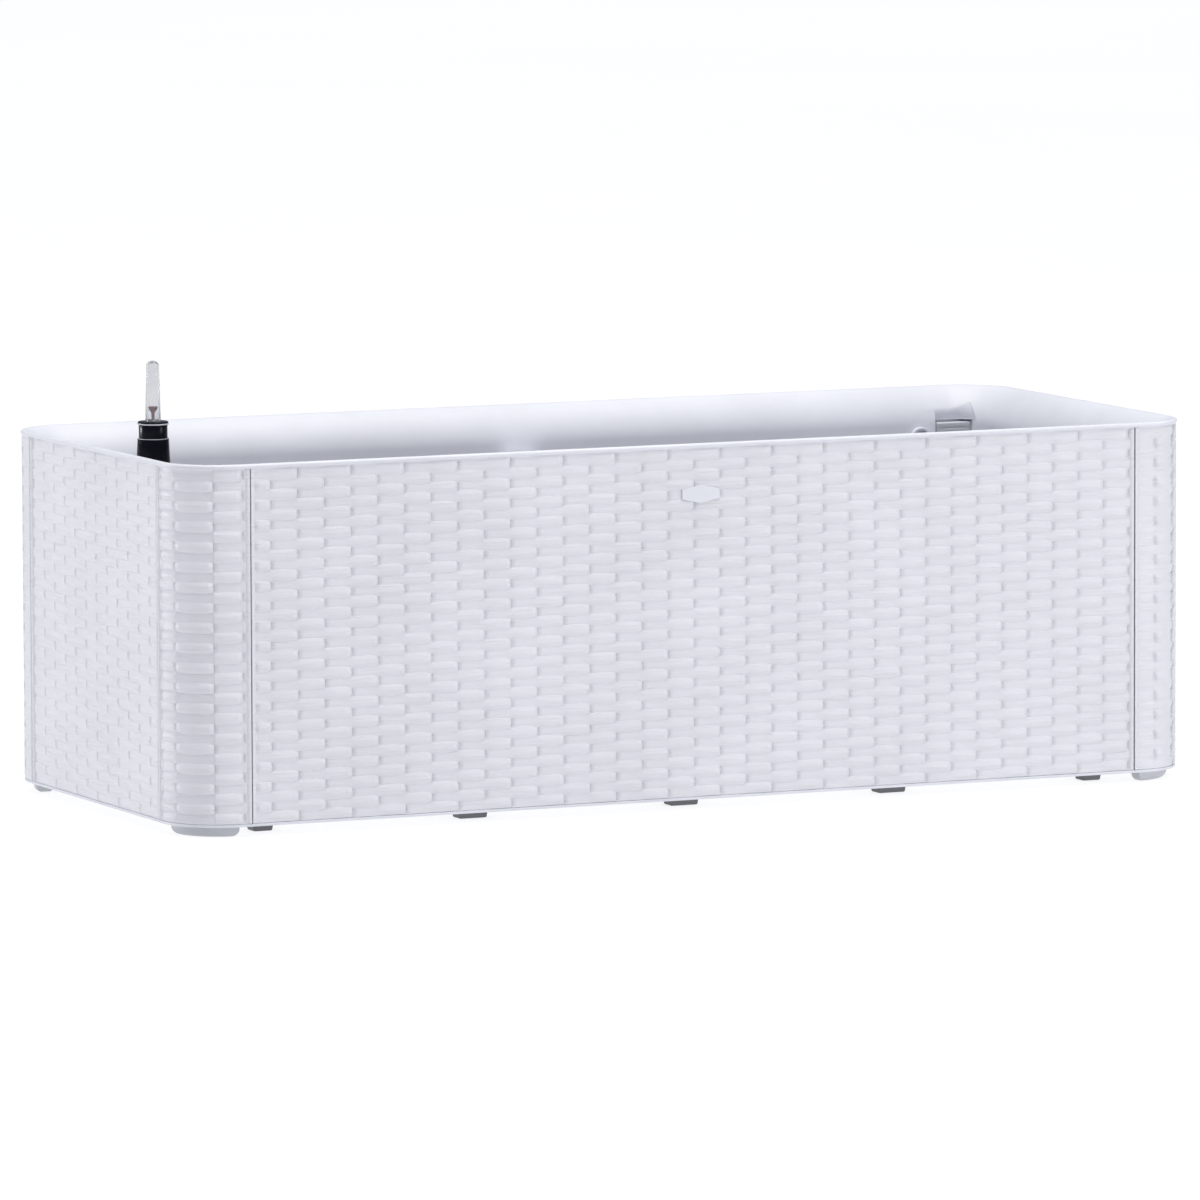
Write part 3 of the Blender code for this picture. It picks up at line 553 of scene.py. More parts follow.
def rounded(points, radius, steps=4, closed=False):
    """Rounds the corners of a chain of (r, z) points."""
    out = []
    count = len(points)
    for i, point in enumerate(points):
        here = Vector(point)
        if not closed and i in (0, count - 1):
            out.append(tuple(here))
            continue
        before = Vector(points[i - 1]) - here
        after = Vector(points[(i + 1) % count]) - here
        reach = min(radius, before.length * 0.45, after.length * 0.45)
        start = here + before.normalized() * reach
        end = here + after.normalized() * reach
        for k in range(steps + 1):
            t = k / steps
            out.append(tuple(start * (1 - t) ** 2 + here * 2 * t * (1 - t) + end * t * t))
    return out


def refined(node, slot, body, width, segments=3):
    """A copy of a CAD node with flat faces joined up and its edges rounded over."""
    bm = bmesh.new()
    bm.from_mesh(NODES[node].data)
    bmesh.ops.remove_doubles(bm, verts=bm.verts, dist=1e-5)
    bmesh.ops.dissolve_limit(bm, angle_limit=math.radians(1.0), verts=bm.verts, edges=bm.edges)
    obj = from_bmesh(node + "_fine", bm)
    bevel(obj, width, segments)
    return finish_piece(obj, slot, body, node)


def outline_at(inset, steps=CORNER_STEPS):
    """The planter's rounded outline, moved inwards by the inset."""
    radius = CORNER_RADIUS - inset
    points = []
    for quarter, (sx, sy) in enumerate(((1, 1), (-1, 1), (-1, -1), (1, -1))):
        for k in range(steps + 1):
            angle = math.pi / 2 * (quarter + k / steps)
            x = sx * CENTRE_X + radius * math.cos(angle)
            points.append((x, sy * CENTRE_Y + radius * math.sin(angle)))
        here = Vector(points[-1])
        along = Vector((-2 * CENTRE_X, 0)) if sx == sy == 1 else Vector((2 * CENTRE_X, 0))
        if sx != sy:
            along = Vector((0, -2 * CENTRE_Y)) if sx < 0 else Vector((0, 2 * CENTRE_Y))
        points += [tuple(here + along * t) for t in RUN_STEPS]
    return points


def loft_bm(rows, steps=CORNER_STEPS):
    bm = bmesh.new()
    rings = [[bm.verts.new((x, y, z)) for x, y in outline_at(inset, steps)] for inset, z in rows]
    for lower, upper in zip(rings, rings[1:]):
        join_rings(bm, lower, upper)
    bm.faces.new(rings[0])
    bm.faces.new(rings[-1])
    return bm


def bezier(points, steps):
    a, b, c, d = (Vector(point) for point in points)
    ts = [k / steps for k in range(steps + 1)]
    return [a * (1 - t) ** 3 + b * 3 * t * (1 - t) ** 2 + c * 3 * t * t * (1 - t) + d * t**3 for t in ts]


def offset_curve(curve, distance):
    moved = []
    for i, point in enumerate(curve):
        direction = (curve[min(i + 1, len(curve) - 1)] - curve[max(i - 1, 0)]).normalized()
        moved.append(point + Vector((direction.y, -direction.x)) * -distance)
    return moved


# ---- woven cladding
def sample_places(start, end, gaps):
    """Places along a woven piece: close together at its gaps and ends, wider between."""
    places = [start + step for step in STRIP_STEPS] + [end - step for step in STRIP_STEPS]
    for place, _, _, (floor, top) in gaps:
        places += [place - top, place - floor, place + floor, place + top]
    places = sorted(p for p in places if start <= p <= end)
    filled = [places[0]]
    for place in places[1:]:
        room = place - filled[-1]
        count = max(1, round(room / FILL_STEP))
        filled += [filled[-1] + room * (k + 1) / count for k in range(count - 1)]
        filled.append(place)
    return np.array(filled)


def ease(value):
    value = np.clip(value, 0.0, 1.0)
    return value * value * (3.0 - 2.0 * value)


def strand_levels(s, gaps, kind):
    """One kind of row along s: its bulge, how deep its gaps cut, its spread, and its pinched ends."""
    bulge = np.zeros_like(s)
    groove = np.zeros_like(s)
    lens = np.full_like(s, -1.0)
    pinch = np.zeros_like(s)
    for place, row_kind, side, (floor, top) in gaps:
        if row_kind != kind:
            continue
        away = side * (s - place)
        share = np.where(away >= -1e-6, 1.0 - ease((away - BULGE_FULL) / (BULGE_END - BULGE_FULL)), 0.0)
        bulge = np.maximum(bulge, share)
        fall = ease((away - LENS_FALL[0]) / (LENS_FALL[1] - LENS_FALL[0]))
        swell = ease(away / LENS_RISE) * (1.0 - fall)
        lens = np.maximum(lens, 2.0 * swell - 1.0)
        near = np.abs(s - place)
        groove = np.maximum(groove, np.clip((top - near) / (top - floor), 0.0, 1.0))
        pinch = np.maximum(pinch, 1.0 - ease(near / PINCH_REACH))
    return bulge, groove, lens, pinch


def woven_piece(name, place, start, end, gaps, seed, relief=1.0, sink=0.0):
    """A closed shell whose outer face is woven: rows of strands that rise and sink by turns."""
    random = np.random.default_rng(seed)
    s = sample_places(start, end, gaps)
    levels = {kind: strand_levels(s, gaps, kind) for kind in (1, 2)}
    border = np.minimum(s - start, end - s)
    weave = np.clip((border - STRIP_STEPS[4]) / (STRIP_STEPS[5] - STRIP_STEPS[4]), 0.0, 1.0)
    strip = np.where(border < STRIP_STEPS[1], STRIP_EDGE, STRIP_HEIGHT)
    strip = np.where(border > STRIP_STEPS[3] + 1e-6, STRIP_FOLD, strip)
    kinds = [1 if (ROWS - 1 - row) % 2 == 0 else 2 for row in range(ROWS)]
    bases = []
    tops = []
    for row in range(ROWS):
        bulge, groove = levels[kinds[row]][:2]
        wave = np.sin(s * ROW_WOBBLE[1] + random.uniform(0, TURN))
        wobble = 1.0 + ROW_WOBBLE[0] * wave * random.uniform(0.3, 1.0)
        hidden = levels[3 - kinds[row]][0] * (1.0 - bulge)
        base = bulge * BULGE * relief * wobble - hidden * sink
        tops.append(base)
        bases.append(base * (1 - groove) - groove * GROOVE_DEPTH)
    lines = []
    creases = []
    for line in range(ROWS + 1):
        if line in (0, ROWS):
            lines.append(np.full_like(s, WEAVE_TOP if line else WEAVE_BOTTOM))
            creases.append(np.zeros_like(s))
            continue
        lower = levels[kinds[line - 1]][2]
        upper = levels[kinds[line]][2]
        shift = -CREASE_SHIFT * relief * (upper - lower) * weave
        wobble = LINE_WOBBLE[0] * np.sin(s * LINE_WOBBLE[1] + random.uniform(0, TURN)) * weave
        lines.append(WEAVE_BOTTOM + ROW_PITCH * line + shift + wobble)
        pinch = np.maximum(levels[kinds[line - 1]][3], levels[kinds[line]][3]) * PINCH_DEPTH
        creases.append(np.minimum(tops[line - 1], tops[line]) - (CREASE_DEPTH + pinch) * relief**2)
    heights = []
    levels_z = []
    for row in range(ROWS):
        for v in BAND_STEPS:
            dome = 1.0 - abs(2 * v - 1) ** DOME_POWER
            crease = creases[row] * (1 - v) + creases[row + 1] * v
            height = crease + (bases[row] - crease) * dome
            heights.append(height * weave + strip * (1 - weave))
            levels_z.append(lines[row] * (1 - v) + lines[row + 1] * v)
    heights.append(creases[ROWS] * weave + strip * (1 - weave))
    levels_z.append(lines[ROWS])
    heights = np.array(heights)
    levels_z = np.array(levels_z)
    rows, cols = heights.shape
    outer = place(np.broadcast_to(s, heights.shape), heights, levels_z)
    bottom = place(s, None, np.full_like(s, WEAVE_BOTTOM))
    top = place(s, None, np.full_like(s, WEAVE_TOP))
    points = np.concatenate([outer.reshape(-1, 3), bottom, top])
    index = np.arange(rows * cols).reshape(rows, cols)
    back_low = rows * cols + np.arange(cols)
    back_high = back_low + cols
    sheets = (
        (index[:-1, :-1], index[:-1, 1:], index[1:, 1:], index[1:, :-1]),
        (index[0, 1:], index[0, :-1], back_low[:-1], back_low[1:]),
        (index[-1, :-1], index[-1, 1:], back_high[1:], back_high[:-1]),
        (back_low[1:], back_low[:-1], back_high[:-1], back_high[1:]),
    )
    quads = np.concatenate([np.stack(sheet, axis=-1).reshape(-1, 4) for sheet in sheets])
    caps = [np.concatenate([index[::-1, 0], [back_low[0], back_high[0]]])]
    caps.append(np.concatenate([index[:, -1], [back_high[-1], back_low[-1]]]))
    loops = np.concatenate([quads.reshape(-1), *caps]).astype(np.int32)
    sizes = np.concatenate([np.full(len(quads), 4), [len(caps[0])], [len(caps[1])]]).astype(np.int32)
    starts = np.concatenate([[0], np.cumsum(sizes)[:-1]]).astype(np.int32)
    mesh = bpy.data.meshes.new(name)
    mesh.vertices.add(len(points))
    mesh.vertices.foreach_set("co", points.astype(np.float32).reshape(-1))
    mesh.loops.add(len(loops))
    mesh.loops.foreach_set("vertex_index", loops)
    mesh.polygons.add(len(sizes))
    mesh.polygons.foreach_set("loop_start", starts)
    mesh.polygons.foreach_set("loop_total", sizes)
    mesh.update(calc_edges=True)
    mesh.shade_smooth()
    ends = np.empty(len(mesh.edges) * 2, np.int32)
    mesh.edges.foreach_get("vertices", ends)
    ends = ends.reshape(-1, 2)
    row_of = ends // cols
    on_grid = (ends < rows * cols).all(axis=1)
    crease_edge = (row_of[:, 0] == row_of[:, 1]) & (row_of[:, 0] % len(BAND_STEPS) == 0) & on_grid
    sharp = crease_edge | ~on_grid
    attribute = mesh.attributes.get("sharp_edge")
    attribute = attribute or mesh.attributes.new("sharp_edge", "BOOLEAN", "EDGE")
    attribute.data.foreach_set("value", sharp)
    obj = make_object(name, mesh)
    bm = bmesh.new()
    bm.from_mesh(mesh)
    if bm.calc_volume(signed=True) < 0:
        bmesh.ops.reverse_faces(bm, faces=bm.faces)
        bm.to_mesh(mesh)
    bm.free()
    return obj


def inset_of(height, recess):
    return BACK_INSET if height is None else recess - height


def long_wall(side):
    """Places for the front panel (side -1) or the back one (side 1), which is it turned half round."""
    def place(s, height, z):
        y = WIDTH / 2 - inset_of(height, PANEL_RECESS) + 0 * s
        return np.stack([-side * s, side * y, z], axis=-1)
    return place


def short_wall(side):
    """Places for the left panel (side -1) or the right one (side 1), which is it turned half round."""
    def place(s, height, z):
        x = LENGTH / 2 - inset_of(height, PANEL_RECESS) + 0 * s
        return np.stack([side * x, -side * s, z], axis=-1)
    return place


def corner_wall(sx, sy):
    """Places round a corner. s starts at the cover's seam on the long wall."""
    arc = COVER_ARC_RADIUS * math.pi / 2

    def place(s, height, z):
        radius = CORNER_RADIUS - inset_of(height, COVER_RECESS)
        angle = np.clip((s - COVER_STRAIGHT) / arc, 0.0, 1.0) * math.pi / 2
        before = np.minimum(s - COVER_STRAIGHT, 0.0)
        after = np.maximum(s - COVER_STRAIGHT - arc, 0.0)
        x = CENTRE_X + before + radius * np.sin(angle)
        y = CENTRE_Y - after + radius * np.cos(angle)
        return np.stack([sx * x, sy * y, z + 0 * x], axis=-1)
    return place


def seam_backing():
    """A narrow strip behind each seam between a panel and a cover."""
    half_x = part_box("front_panel")[1].x + SEAM_OUTSIDE
    half_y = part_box("left_panel")[1].y + SEAM_OUTSIDE
    low, high = WEAVE_BOTTOM + SEAM_END, WEAVE_TOP - SEAM_END
    bars = []
    for sx, sy in CORNERS.values():
        x, y = sx * half_x, sy * half_y
        ys = sorted((sy * (WIDTH / 2 - SEAM_FRONT), sy * (WIDTH / 2 - SEAM_BACK)))
        bars.append(bevelled_box((x - SEAM_HALF, ys[0], low), (x + SEAM_HALF, ys[1], high), SEAM_EDGE, 1))
        xs = sorted((sx * (LENGTH / 2 - SEAM_FRONT), sx * (LENGTH / 2 - SEAM_BACK)))
        bars.append(bevelled_box((xs[0], y - SEAM_HALF, low), (xs[1], y + SEAM_HALF, high), SEAM_EDGE, 1))
    finish_piece(from_bmesh("seam_backing", merge_bm(bars)), "woven_white", "planter")


def panel_gaps(first, pitch, count):
    """A panel's gaps, in the two kinds of row by turns. The last one is wider."""
    gaps = []
    for k in range(count):
        size = THICK_GAP if k == count - 1 else THIN_GAP
        gaps.append((first + pitch * k, 2 - k % 2, -1, size))
    return gaps


def cladding():
    """Four panels, then four corner covers."""
    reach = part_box("front_panel")[1].x + SEAM_REACH
    gaps = panel_gaps(FRONT_FIRST_GAP, FRONT_PITCH, FRONT_GAPS)
    for side, node in ((-1, "front_panel"), (1, "back_panel")):
        piece = woven_piece(node + "_weave", long_wall(side), -reach, reach, gaps, FRONT_SEED + side)
        finish_piece(piece, "woven_white", "planter", node)
    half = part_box("left_panel")[1].y
    reach = half + SEAM_REACH
    gaps = panel_gaps(-(half + SIDE_SEAM_GAP) + SIDE_FIRST_GAP, SIDE_PITCH, SIDE_GAPS)
    for side, node in ((-1, "left_panel"), (1, "right_panel")):
        place = short_wall(side)
        piece = woven_piece(node + "_weave", place, -reach, reach, gaps, SIDE_SEED + side, END_RELIEF)
        if node == "right_panel":
            bore(piece, "port_hole", PANEL_PORT_RADIUS, *PANEL_PORT_CUT)
        finish_piece(piece, "woven_white", "planter", node)
    end = 2 * COVER_STRAIGHT + COVER_ARC_RADIUS * math.pi / 2
    for turn, (name, (sx, sy)) in enumerate(CORNERS.items()):
        gaps = LEFT_COVER_GAPS if sx * sy > 0 else RIGHT_COVER_GAPS
        node = "corner_cover_" + name
        place = corner_wall(sx, sy)
        seed = COVER_SEED + turn
        piece = woven_piece(node + "_weave", place, 0.0, end, gaps, seed, COVER_RELIEF, COVER_SINK)
        finish_piece(piece, "woven_white", "planter", node)


# ---- tub, tray and feet
def tub_rows():
    """The tub's section as (inset, height): up the inside, over the bead, down the outside."""
    shoulder = bezier(SHOULDER, SHOULDER_STEPS)
    outside = offset_curve(shoulder, SKIN)
    rows = [(WALL_FOOT_INSET + inset, FLOOR_TOP + rise) for inset, rise in FLOOR_FILLET]
    rows += [tuple(point) for point in shoulder]
    for k in range(1, BEAD_STEPS + 1):
        angle = math.pi * (0.5 + k / BEAD_STEPS)
        height = RIM_TOP - BEAD_RADIUS + BEAD_RADIUS * math.sin(angle)
        rows.append((BEAD_RADIUS * (1 + math.cos(angle)), height))
    rows += [tuple(point) for point in outside[-2::-1]]
    rows.append((WALL_FOOT_INSET - SKIN, WEAVE_BOTTOM))
    return rows


def corner_boxes(low, high, width, segments):
    """A bevelled box in each corner, given at the back right one."""
    boxes = []
    for sx, sy in CORNERS.values():
        xs = sorted((sx * low.x, sx * high.x))
        ys = sorted((sy * low.y, sy * high.y))
        boxes.append(bevelled_box((xs[0], ys[0], low.z), (xs[1], ys[1], high.z), width, segments))
    return merge_bm(boxes)


def along_x(bm):
    """Turns a lathed form from Z to X, at the overflow port's height."""
    turn = Matrix.Translation((0, 0, PORT_Z)) @ Matrix.Rotation(math.radians(90), 4, "Y")
    bmesh.ops.transform(bm, matrix=turn, verts=bm.verts)
    return bm


def bore(obj, name, radius, near, far):
    hole = lathe_bm([(0, near), (radius, near), (radius, far), (0, far)])
    cut(obj, from_bmesh(name, along_x(hole)))


def wall_y(x, z):
    """Where the tub's inner face stands behind the middle at a place along it and a height."""
    curve = bezier(SHOULDER, 40)
    foot = (WALL_FOOT_INSET, FLOOR_TOP)
    heights = [foot[1]] + [point.y for point in curve]
    inset = np.interp(z, heights, [foot[0]] + [point.x for point in curve])
    past = max(0.0, x - CENTRE_X)
    radius = CORNER_RADIUS - inset
    return CENTRE_Y + math.sqrt(max(radius**2 - past**2, 0.0))


def scoop_bm(sx, sy):
    """The space of a corner channel: upright below, and running out into the shoulder above."""
    steps = SCOOP_ROUND_STEPS
    turns = [1 - math.cos(math.pi / 2 * k / steps) for k in range(steps + 1)]
    width = CHANNEL_HIGH.x - CHANNEL_LOW.x
    offsets = [CHANNEL_ROUND * t for t in turns]
    flat = width - 2 * CHANNEL_ROUND
    offsets += [CHANNEL_ROUND + flat * k / SCOOP_FLAT_STEPS for k in range(1, SCOOP_FLAT_STEPS)]
    offsets += [width - CHANNEL_ROUND * t for t in turns[::-1]]
    heights = [CHANNEL_LOW.z, *SCOOP_LEVELS, LEDGE_Z, LEDGE_Z + LEDGE_STEP]
    heights += list(np.linspace(SCOOP_FADE_FROM, SCOOP_TOP, SCOOP_FADE_STEPS))
    bm = bmesh.new()
    back = []
    for z in heights:
        row = []
        for offset in offsets:
            x = CHANNEL_LOW.x + offset
            near = CHANNEL_ROUND - min(offset, width - offset, CHANNEL_ROUND)
            curl = CHANNEL_ROUND - math.sqrt(CHANNEL_ROUND**2 - near**2)
            deep = CHANNEL_HIGH.y + (LEDGE_DEPTH if z <= LEDGE_Z else 0.0)
            base = wall_y(x, z)
            above = np.clip((z - SCOOP_FADE_FROM) / (SCOOP_TOP - SCOOP_FADE_FROM), 0.0, 1.0)
            full = (1.0 - above) ** SCOOP_POWER
            depth = max(deep - curl, base) - base
            if z > LEDGE_Z:
                depth = min(depth, SCOOP_DEPTH)
            y = base - SCOOP_CLEAR + (depth + SCOOP_CLEAR) * full
            row.append(bm.verts.new((sx * x, sy * y, z)))
        back.append(row)
    front = []
    for z in (heights[0], heights[-1]):
        front.append([bm.verts.new((sx * x, sy * CHANNEL_LOW.y, z)) for x in (CHANNEL_LOW.x, CHANNEL_HIGH.x)])
    for lower, upper in zip(back, back[1:]):
        for i in range(len(offsets) - 1):
            bm.faces.new((lower[i], lower[i + 1], upper[i + 1], upper[i]))
    bm.faces.new((front[0][0], front[0][1], front[1][1], front[1][0]))
    bm.faces.new([front[0][1], front[0][0]] + back[0])
    bm.faces.new([front[1][0], front[1][1]] + back[-1][::-1])
    bm.faces.new([front[0][0], front[1][0]] + [row[0] for row in back[::-1]])
    bm.faces.new([front[1][1], front[0][1]] + [row[-1] for row in back])
    bmesh.ops.recalc_face_normals(bm, faces=bm.faces)
    return bm


def liner_tub():
    """The liner: one skin with its bead and shoulder, four corner channels, and the overflow port."""
    tub = from_bmesh("liner_tub", loft_bm(tub_rows()))
    shoulder = offset_curve(bezier(SHOULDER, 12), SKIN / 2)
    inside = [(WALL_FOOT_INSET - SKIN / 2, FLOOR_TOP - SKIN / 2)]
    inside += [tuple(point) for point in shoulder] + [(shoulder[-1].x, RIM_TOP + 0.01)]
    bosses = from_bmesh("bosses", corner_boxes(BOSS_LOW, BOSS_HIGH, 0.0005, 1))
    cut(bosses, from_bmesh("inside", loft_bm(inside, 12)))
    cut(tub, bosses, "UNION")
    cut(tub, from_bmesh("channels", merge_bm(scoop_bm(sx, sy) for sx, sy in CORNERS.values())))
    face = PORT_HIGH.x - PORT_FACE_BACK
    wall = LENGTH / 2 - WALL_FOOT_INSET - PORT_WALL_BACK
    inner, outer = PORT_RADII
    loop = [(inner, wall - PORT_REACH), (outer, wall - PORT_REACH), (outer, face), (inner, face)]
    port = lathe_bm(rounded(loop, 0.0007, closed=True), hollow=True)
    port = from_bmesh("port", along_x(port))
    bore(tub, "port_bore", PORT_BORE, wall - PORT_CUT, wall + PORT_CUT)
    cut(tub, port, "UNION")
    tub.data.shade_smooth()
    tub.data.set_sharp_from_angle(angle=math.radians(38))
    finish_piece(tub, "white_plastic", "planter", "inner_tub")


def base_tray():
    """The tray's plate with softened edges, and low ribs under it."""
    low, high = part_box("base_tray")
    inset = low.x + LENGTH / 2
    rows = [(inset + 0.0006, low.z), (inset + 0.0001, low.z + 0.0005), (inset, low.z + 0.0011)]
    rows += [(inset, high.z - 0.0006), (inset + 0.0002, high.z - 0.0002), (inset + 0.0007, high.z)]
    tray = from_bmesh("tray_plate", loft_bm(rows))
    finish_piece(tray, "white_plastic", "planter", "base_tray")
    ribs = []
    z0, z1 = low.z - TRAY_RIB_DEPTH, low.z + TRAY_RIB_OVERLAP
    run_x, run_y = TRAY_RIB_RUN
    for k in range(-4, 5):
        x = k * TRAY_RIB_PITCH
        ends = (x - TRAY_RIB_HALF, -run_y, z0), (x + TRAY_RIB_HALF, run_y, z1)
        ribs.append(bevelled_box(*ends, TRAY_RIB_EDGE, 2))
    for y in TRAY_RIB_ROWS:
        ends = (-run_x, y - TRAY_RIB_HALF, z0), (run_x, y + TRAY_RIB_HALF, z1)
        ribs.append(bevelled_box(*ends, TRAY_RIB_EDGE, 2))
    finish_piece(from_bmesh("tray_ribs", merge_bm(ribs)), "white_plastic", "planter")


def foot_bm(sx, sy):
    """A corner foot: a curved bar with a flat top, its sides and ends rounded in towards the floor."""
    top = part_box("corner_foot_front_left")[1].z
    turns = [math.pi / 2 * k / FOOT_ROUND_STEPS for k in range(FOOT_ROUND_STEPS + 1)]
    levels = [(FOOT_ROUND * (1 - math.cos(a)), FOOT_ROUND * (1 - math.sin(a))) for a in turns]
    levels.append((top, 0.0))
    bm = bmesh.new()
    rings = []
    for z, drawn_in in levels:
        outer = FOOT_OUTER - drawn_in
        inner = FOOT_INNER + drawn_in * FOOT_INNER_SHARE
        short = drawn_in / FOOT_OUTER
        arc = np.linspace(short, math.pi / 2 - short, FOOT_ARC_POINTS)
        outline = [(outer * math.cos(a), outer * math.sin(a)) for a in arc]
        outline += [(inner * math.cos(a), inner * math.sin(a)) for a in arc[::-1]]
        rings.append([bm.verts.new((sx * (CENTRE_X + x), sy * (CENTRE_Y + y), z)) for x, y in outline])
    for lower, upper in zip(rings, rings[1:]):
        join_rings(bm, lower, upper)
    for ring in (rings[0], rings[-1]):
        half = len(ring) // 2
        for i in range(half - 1):
            bm.faces.new((ring[i], ring[i + 1], ring[-2 - i], ring[-1 - i]))
    return bm


def feet():
    for name, (sx, sy) in CORNERS.items():
        node = "corner_foot_" + name
        # The corner feet are white plastic drawn in grey: painted shade, standing for the shade under the
        # planter's body.
        finish_piece(from_bmesh(node + "_round", foot_bm(sx, sy), 50), "grey_plastic", "planter", node)
    for side in ("front", "back"):
        for k in range(1, 6):
            refined(f"base_foot_{side}_{k}", "dark_foot_plastic", "planter", 0.0014)


def badge():
    refined("badge_plate", "white_plastic", "planter", 0.0006, 4)


# ---- fittings inside the tub
def lock_post(name, sy):
    """An upright post whose front face has low curved ribs under a rounded ledge."""
    node = "corner_lock_" + name
    low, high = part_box(node)
    depth = high.y - low.y
    across = LOCK_ACROSS
    u = np.linspace(0.0, 1.0, across)
    z = np.linspace(low.z, high.z - LOCK_HEAD, LOCK_UP)
    z = np.concatenate([z, np.linspace(high.z - LOCK_HEAD_FROM, high.z, LOCK_HEAD_STEPS)])
    grid_u, grid_z = np.meshgrid(u, z)
    bow = LOCK_BOW * (2 * grid_u - 1) ** 2
    rib = 0.5 + 0.5 * np.cos((grid_z - high.z + bow) * 2 * math.pi / LOCK_RIB_PITCH)
    edge = np.clip(np.minimum(grid_u, 1 - grid_u) / LOCK_RIB_FADE, 0, 1)
    below = np.clip((high.z - LOCK_LEDGE - grid_z) / LOCK_LEDGE_FADE, 0, 1)
    relief = LOCK_RIB_DEPTH * (rib - 1.0) * np.minimum(edge, below)
    round_top = np.clip((grid_z - (high.z - LOCK_TOP_ROUND)) / LOCK_TOP_ROUND, 0, 1)
    sides = np.clip(1 - np.minimum(grid_u, 1 - grid_u) / LOCK_SIDE_SHARE, 0, 1)
    top = LOCK_TOP_DEPTH * (1 - np.sqrt(1 - round_top**2))
    front = relief - top - LOCK_SIDE_DEPTH * sides
    bm = bmesh.new()
    rows = []
    for j in range(len(z)):
        row = []
        for i in range(across):
            y = depth + front[j, i] if sy < 0 else -front[j, i]
            row.append(bm.verts.new((low.x + u[i] * (high.x - low.x), low.y + y, z[j])))
        rows.append(row)
    back_y = low.y if sy < 0 else high.y
    back = []
    for height in (low.z, high.z):
        back.append([bm.verts.new((low.x + t * (high.x - low.x), back_y, height)) for t in u])
    for j in range(len(z) - 1):
        for i in range(across - 1):
            bm.faces.new((rows[j][i], rows[j][i + 1], rows[j + 1][i + 1], rows[j + 1][i]))
    for i in range(across - 1):
        bm.faces.new((rows[0][i + 1], rows[0][i], back[0][i], back[0][i + 1]))
        bm.faces.new((rows[-1][i], rows[-1][i + 1], back[1][i + 1], back[1][i]))
        bm.faces.new((back[0][i + 1], back[0][i], back[1][i], back[1][i + 1]))
    bm.faces.new([row[0] for row in rows][::-1] + [back[0][0], back[1][0]])
    bm.faces.new([row[-1] for row in rows] + [back[1][-1], back[0][-1]])
    # The post is drawn in grey plastic: painted shade, standing for the shade of the recessed channel it
    # stands in.
    finish_piece(from_bmesh(node + "_ribbed", bm, 40), "grey_plastic", "planter", node)


def grommet(name, sy):
    """A ring boss with a rounded face."""
    node = "wall_grommet_" + name
    low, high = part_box(node)
    radius = (high.x - low.x) / 2
    thick = high.y - low.y
    hole = radius * RING_HOLE_SHARE
    loop = [(hole, 0.0), (radius, 0.0), (radius, thick), (hole, thick)]
    bm = lathe_bm(rounded(loop, 0.0012, 5, closed=True), hollow=True)
    centre = Vector(((low.x + high.x) / 2, high.y if sy > 0 else low.y, (low.z + high.z) / 2))
    turn = Matrix.Translation(centre) @ Matrix.Rotation(math.radians(90 * sy), 4, "X")
    bmesh.ops.transform(bm, matrix=turn, verts=bm.verts)
    finish_piece(from_bmesh(node + "_ring", bm), "white_plastic", "planter", node)


def brace():
    """The cross brace with ribs inside it, and its two brackets."""
    refined("cross_brace", "white_plastic", "planter", 0.0009, 3)
    for side in ("front", "back"):
        refined("brace_bracket_" + side, "white_plastic", "planter", 0.0006, 3)
    low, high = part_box("cross_brace")
    x0, x1 = low.x + BRACE_WALL, high.x - BRACE_WALL
    z0, z1 = low.z + BRACE_RIB_LIFT, high.z - BRACE_WALL
    ribs = []
    for k in range(-4, 5):
        y = k * BRACE_RIB_PITCH
        ends = (x0, y - BRACE_RIB_HALF, z0), (x1, y + BRACE_RIB_HALF, z1)
        ribs.append(bevelled_box(*ends, BRACE_RIB_EDGE, 1))
    finish_piece(from_bmesh("brace_ribs", merge_bm(ribs)), "white_plastic", "planter")


def false_floor():
    """The centre bridge, and both grates with their ribs, raised lips and wicks."""
    refined("centre_bridge", "charcoal_plastic", "planter", 0.0005, 2)
    for side, sx in (("left", -1), ("right", 1)):
        node = "grate_" + side
        refined(node, "charcoal_plastic", node, 0.0004, 2)
        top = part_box(node)[1].z
        foot, rib_top, lip_top = top - GRATE_RIB_SINK, top + GRATE_RIB_RISE, top + GRATE_LIP_RISE
        ribs = []
        for x in GRATE_RIB_X:
            x0, x1 = sx * x - GRATE_RIB_HALF, sx * x + GRATE_RIB_HALF
            for y0, y1 in GRATE_RIB_RUNS:
                ribs.append(bevelled_box((x0, y0, foot), (x1, y1, rib_top), GRATE_RIB_EDGE, 2))
        x0, x1 = sorted(sx * x for x in GRATE_LIP_X)
        for y in (-GRATE_LIP_Y, GRATE_LIP_Y):
            ends = (x0, y - GRATE_LIP_HALF, foot), (x1, y + GRATE_LIP_HALF, lip_top)
            ribs.append(bevelled_box(*ends, GRATE_LIP_EDGE, 2))
        x0, x1 = sorted(sx * x for x in MIDDLE_LIP_X)
        ends = (x0, -MIDDLE_LIP_Y, foot), (x1, MIDDLE_LIP_Y, lip_top)
        ribs.append(bevelled_box(*ends, GRATE_LIP_EDGE, 2))
        finish_piece(from_bmesh(node + "_ribs", merge_bm(ribs)), "charcoal_plastic", node)
        for k in range(1, 5):
            wick(f"wick_{side}_{k}", node)


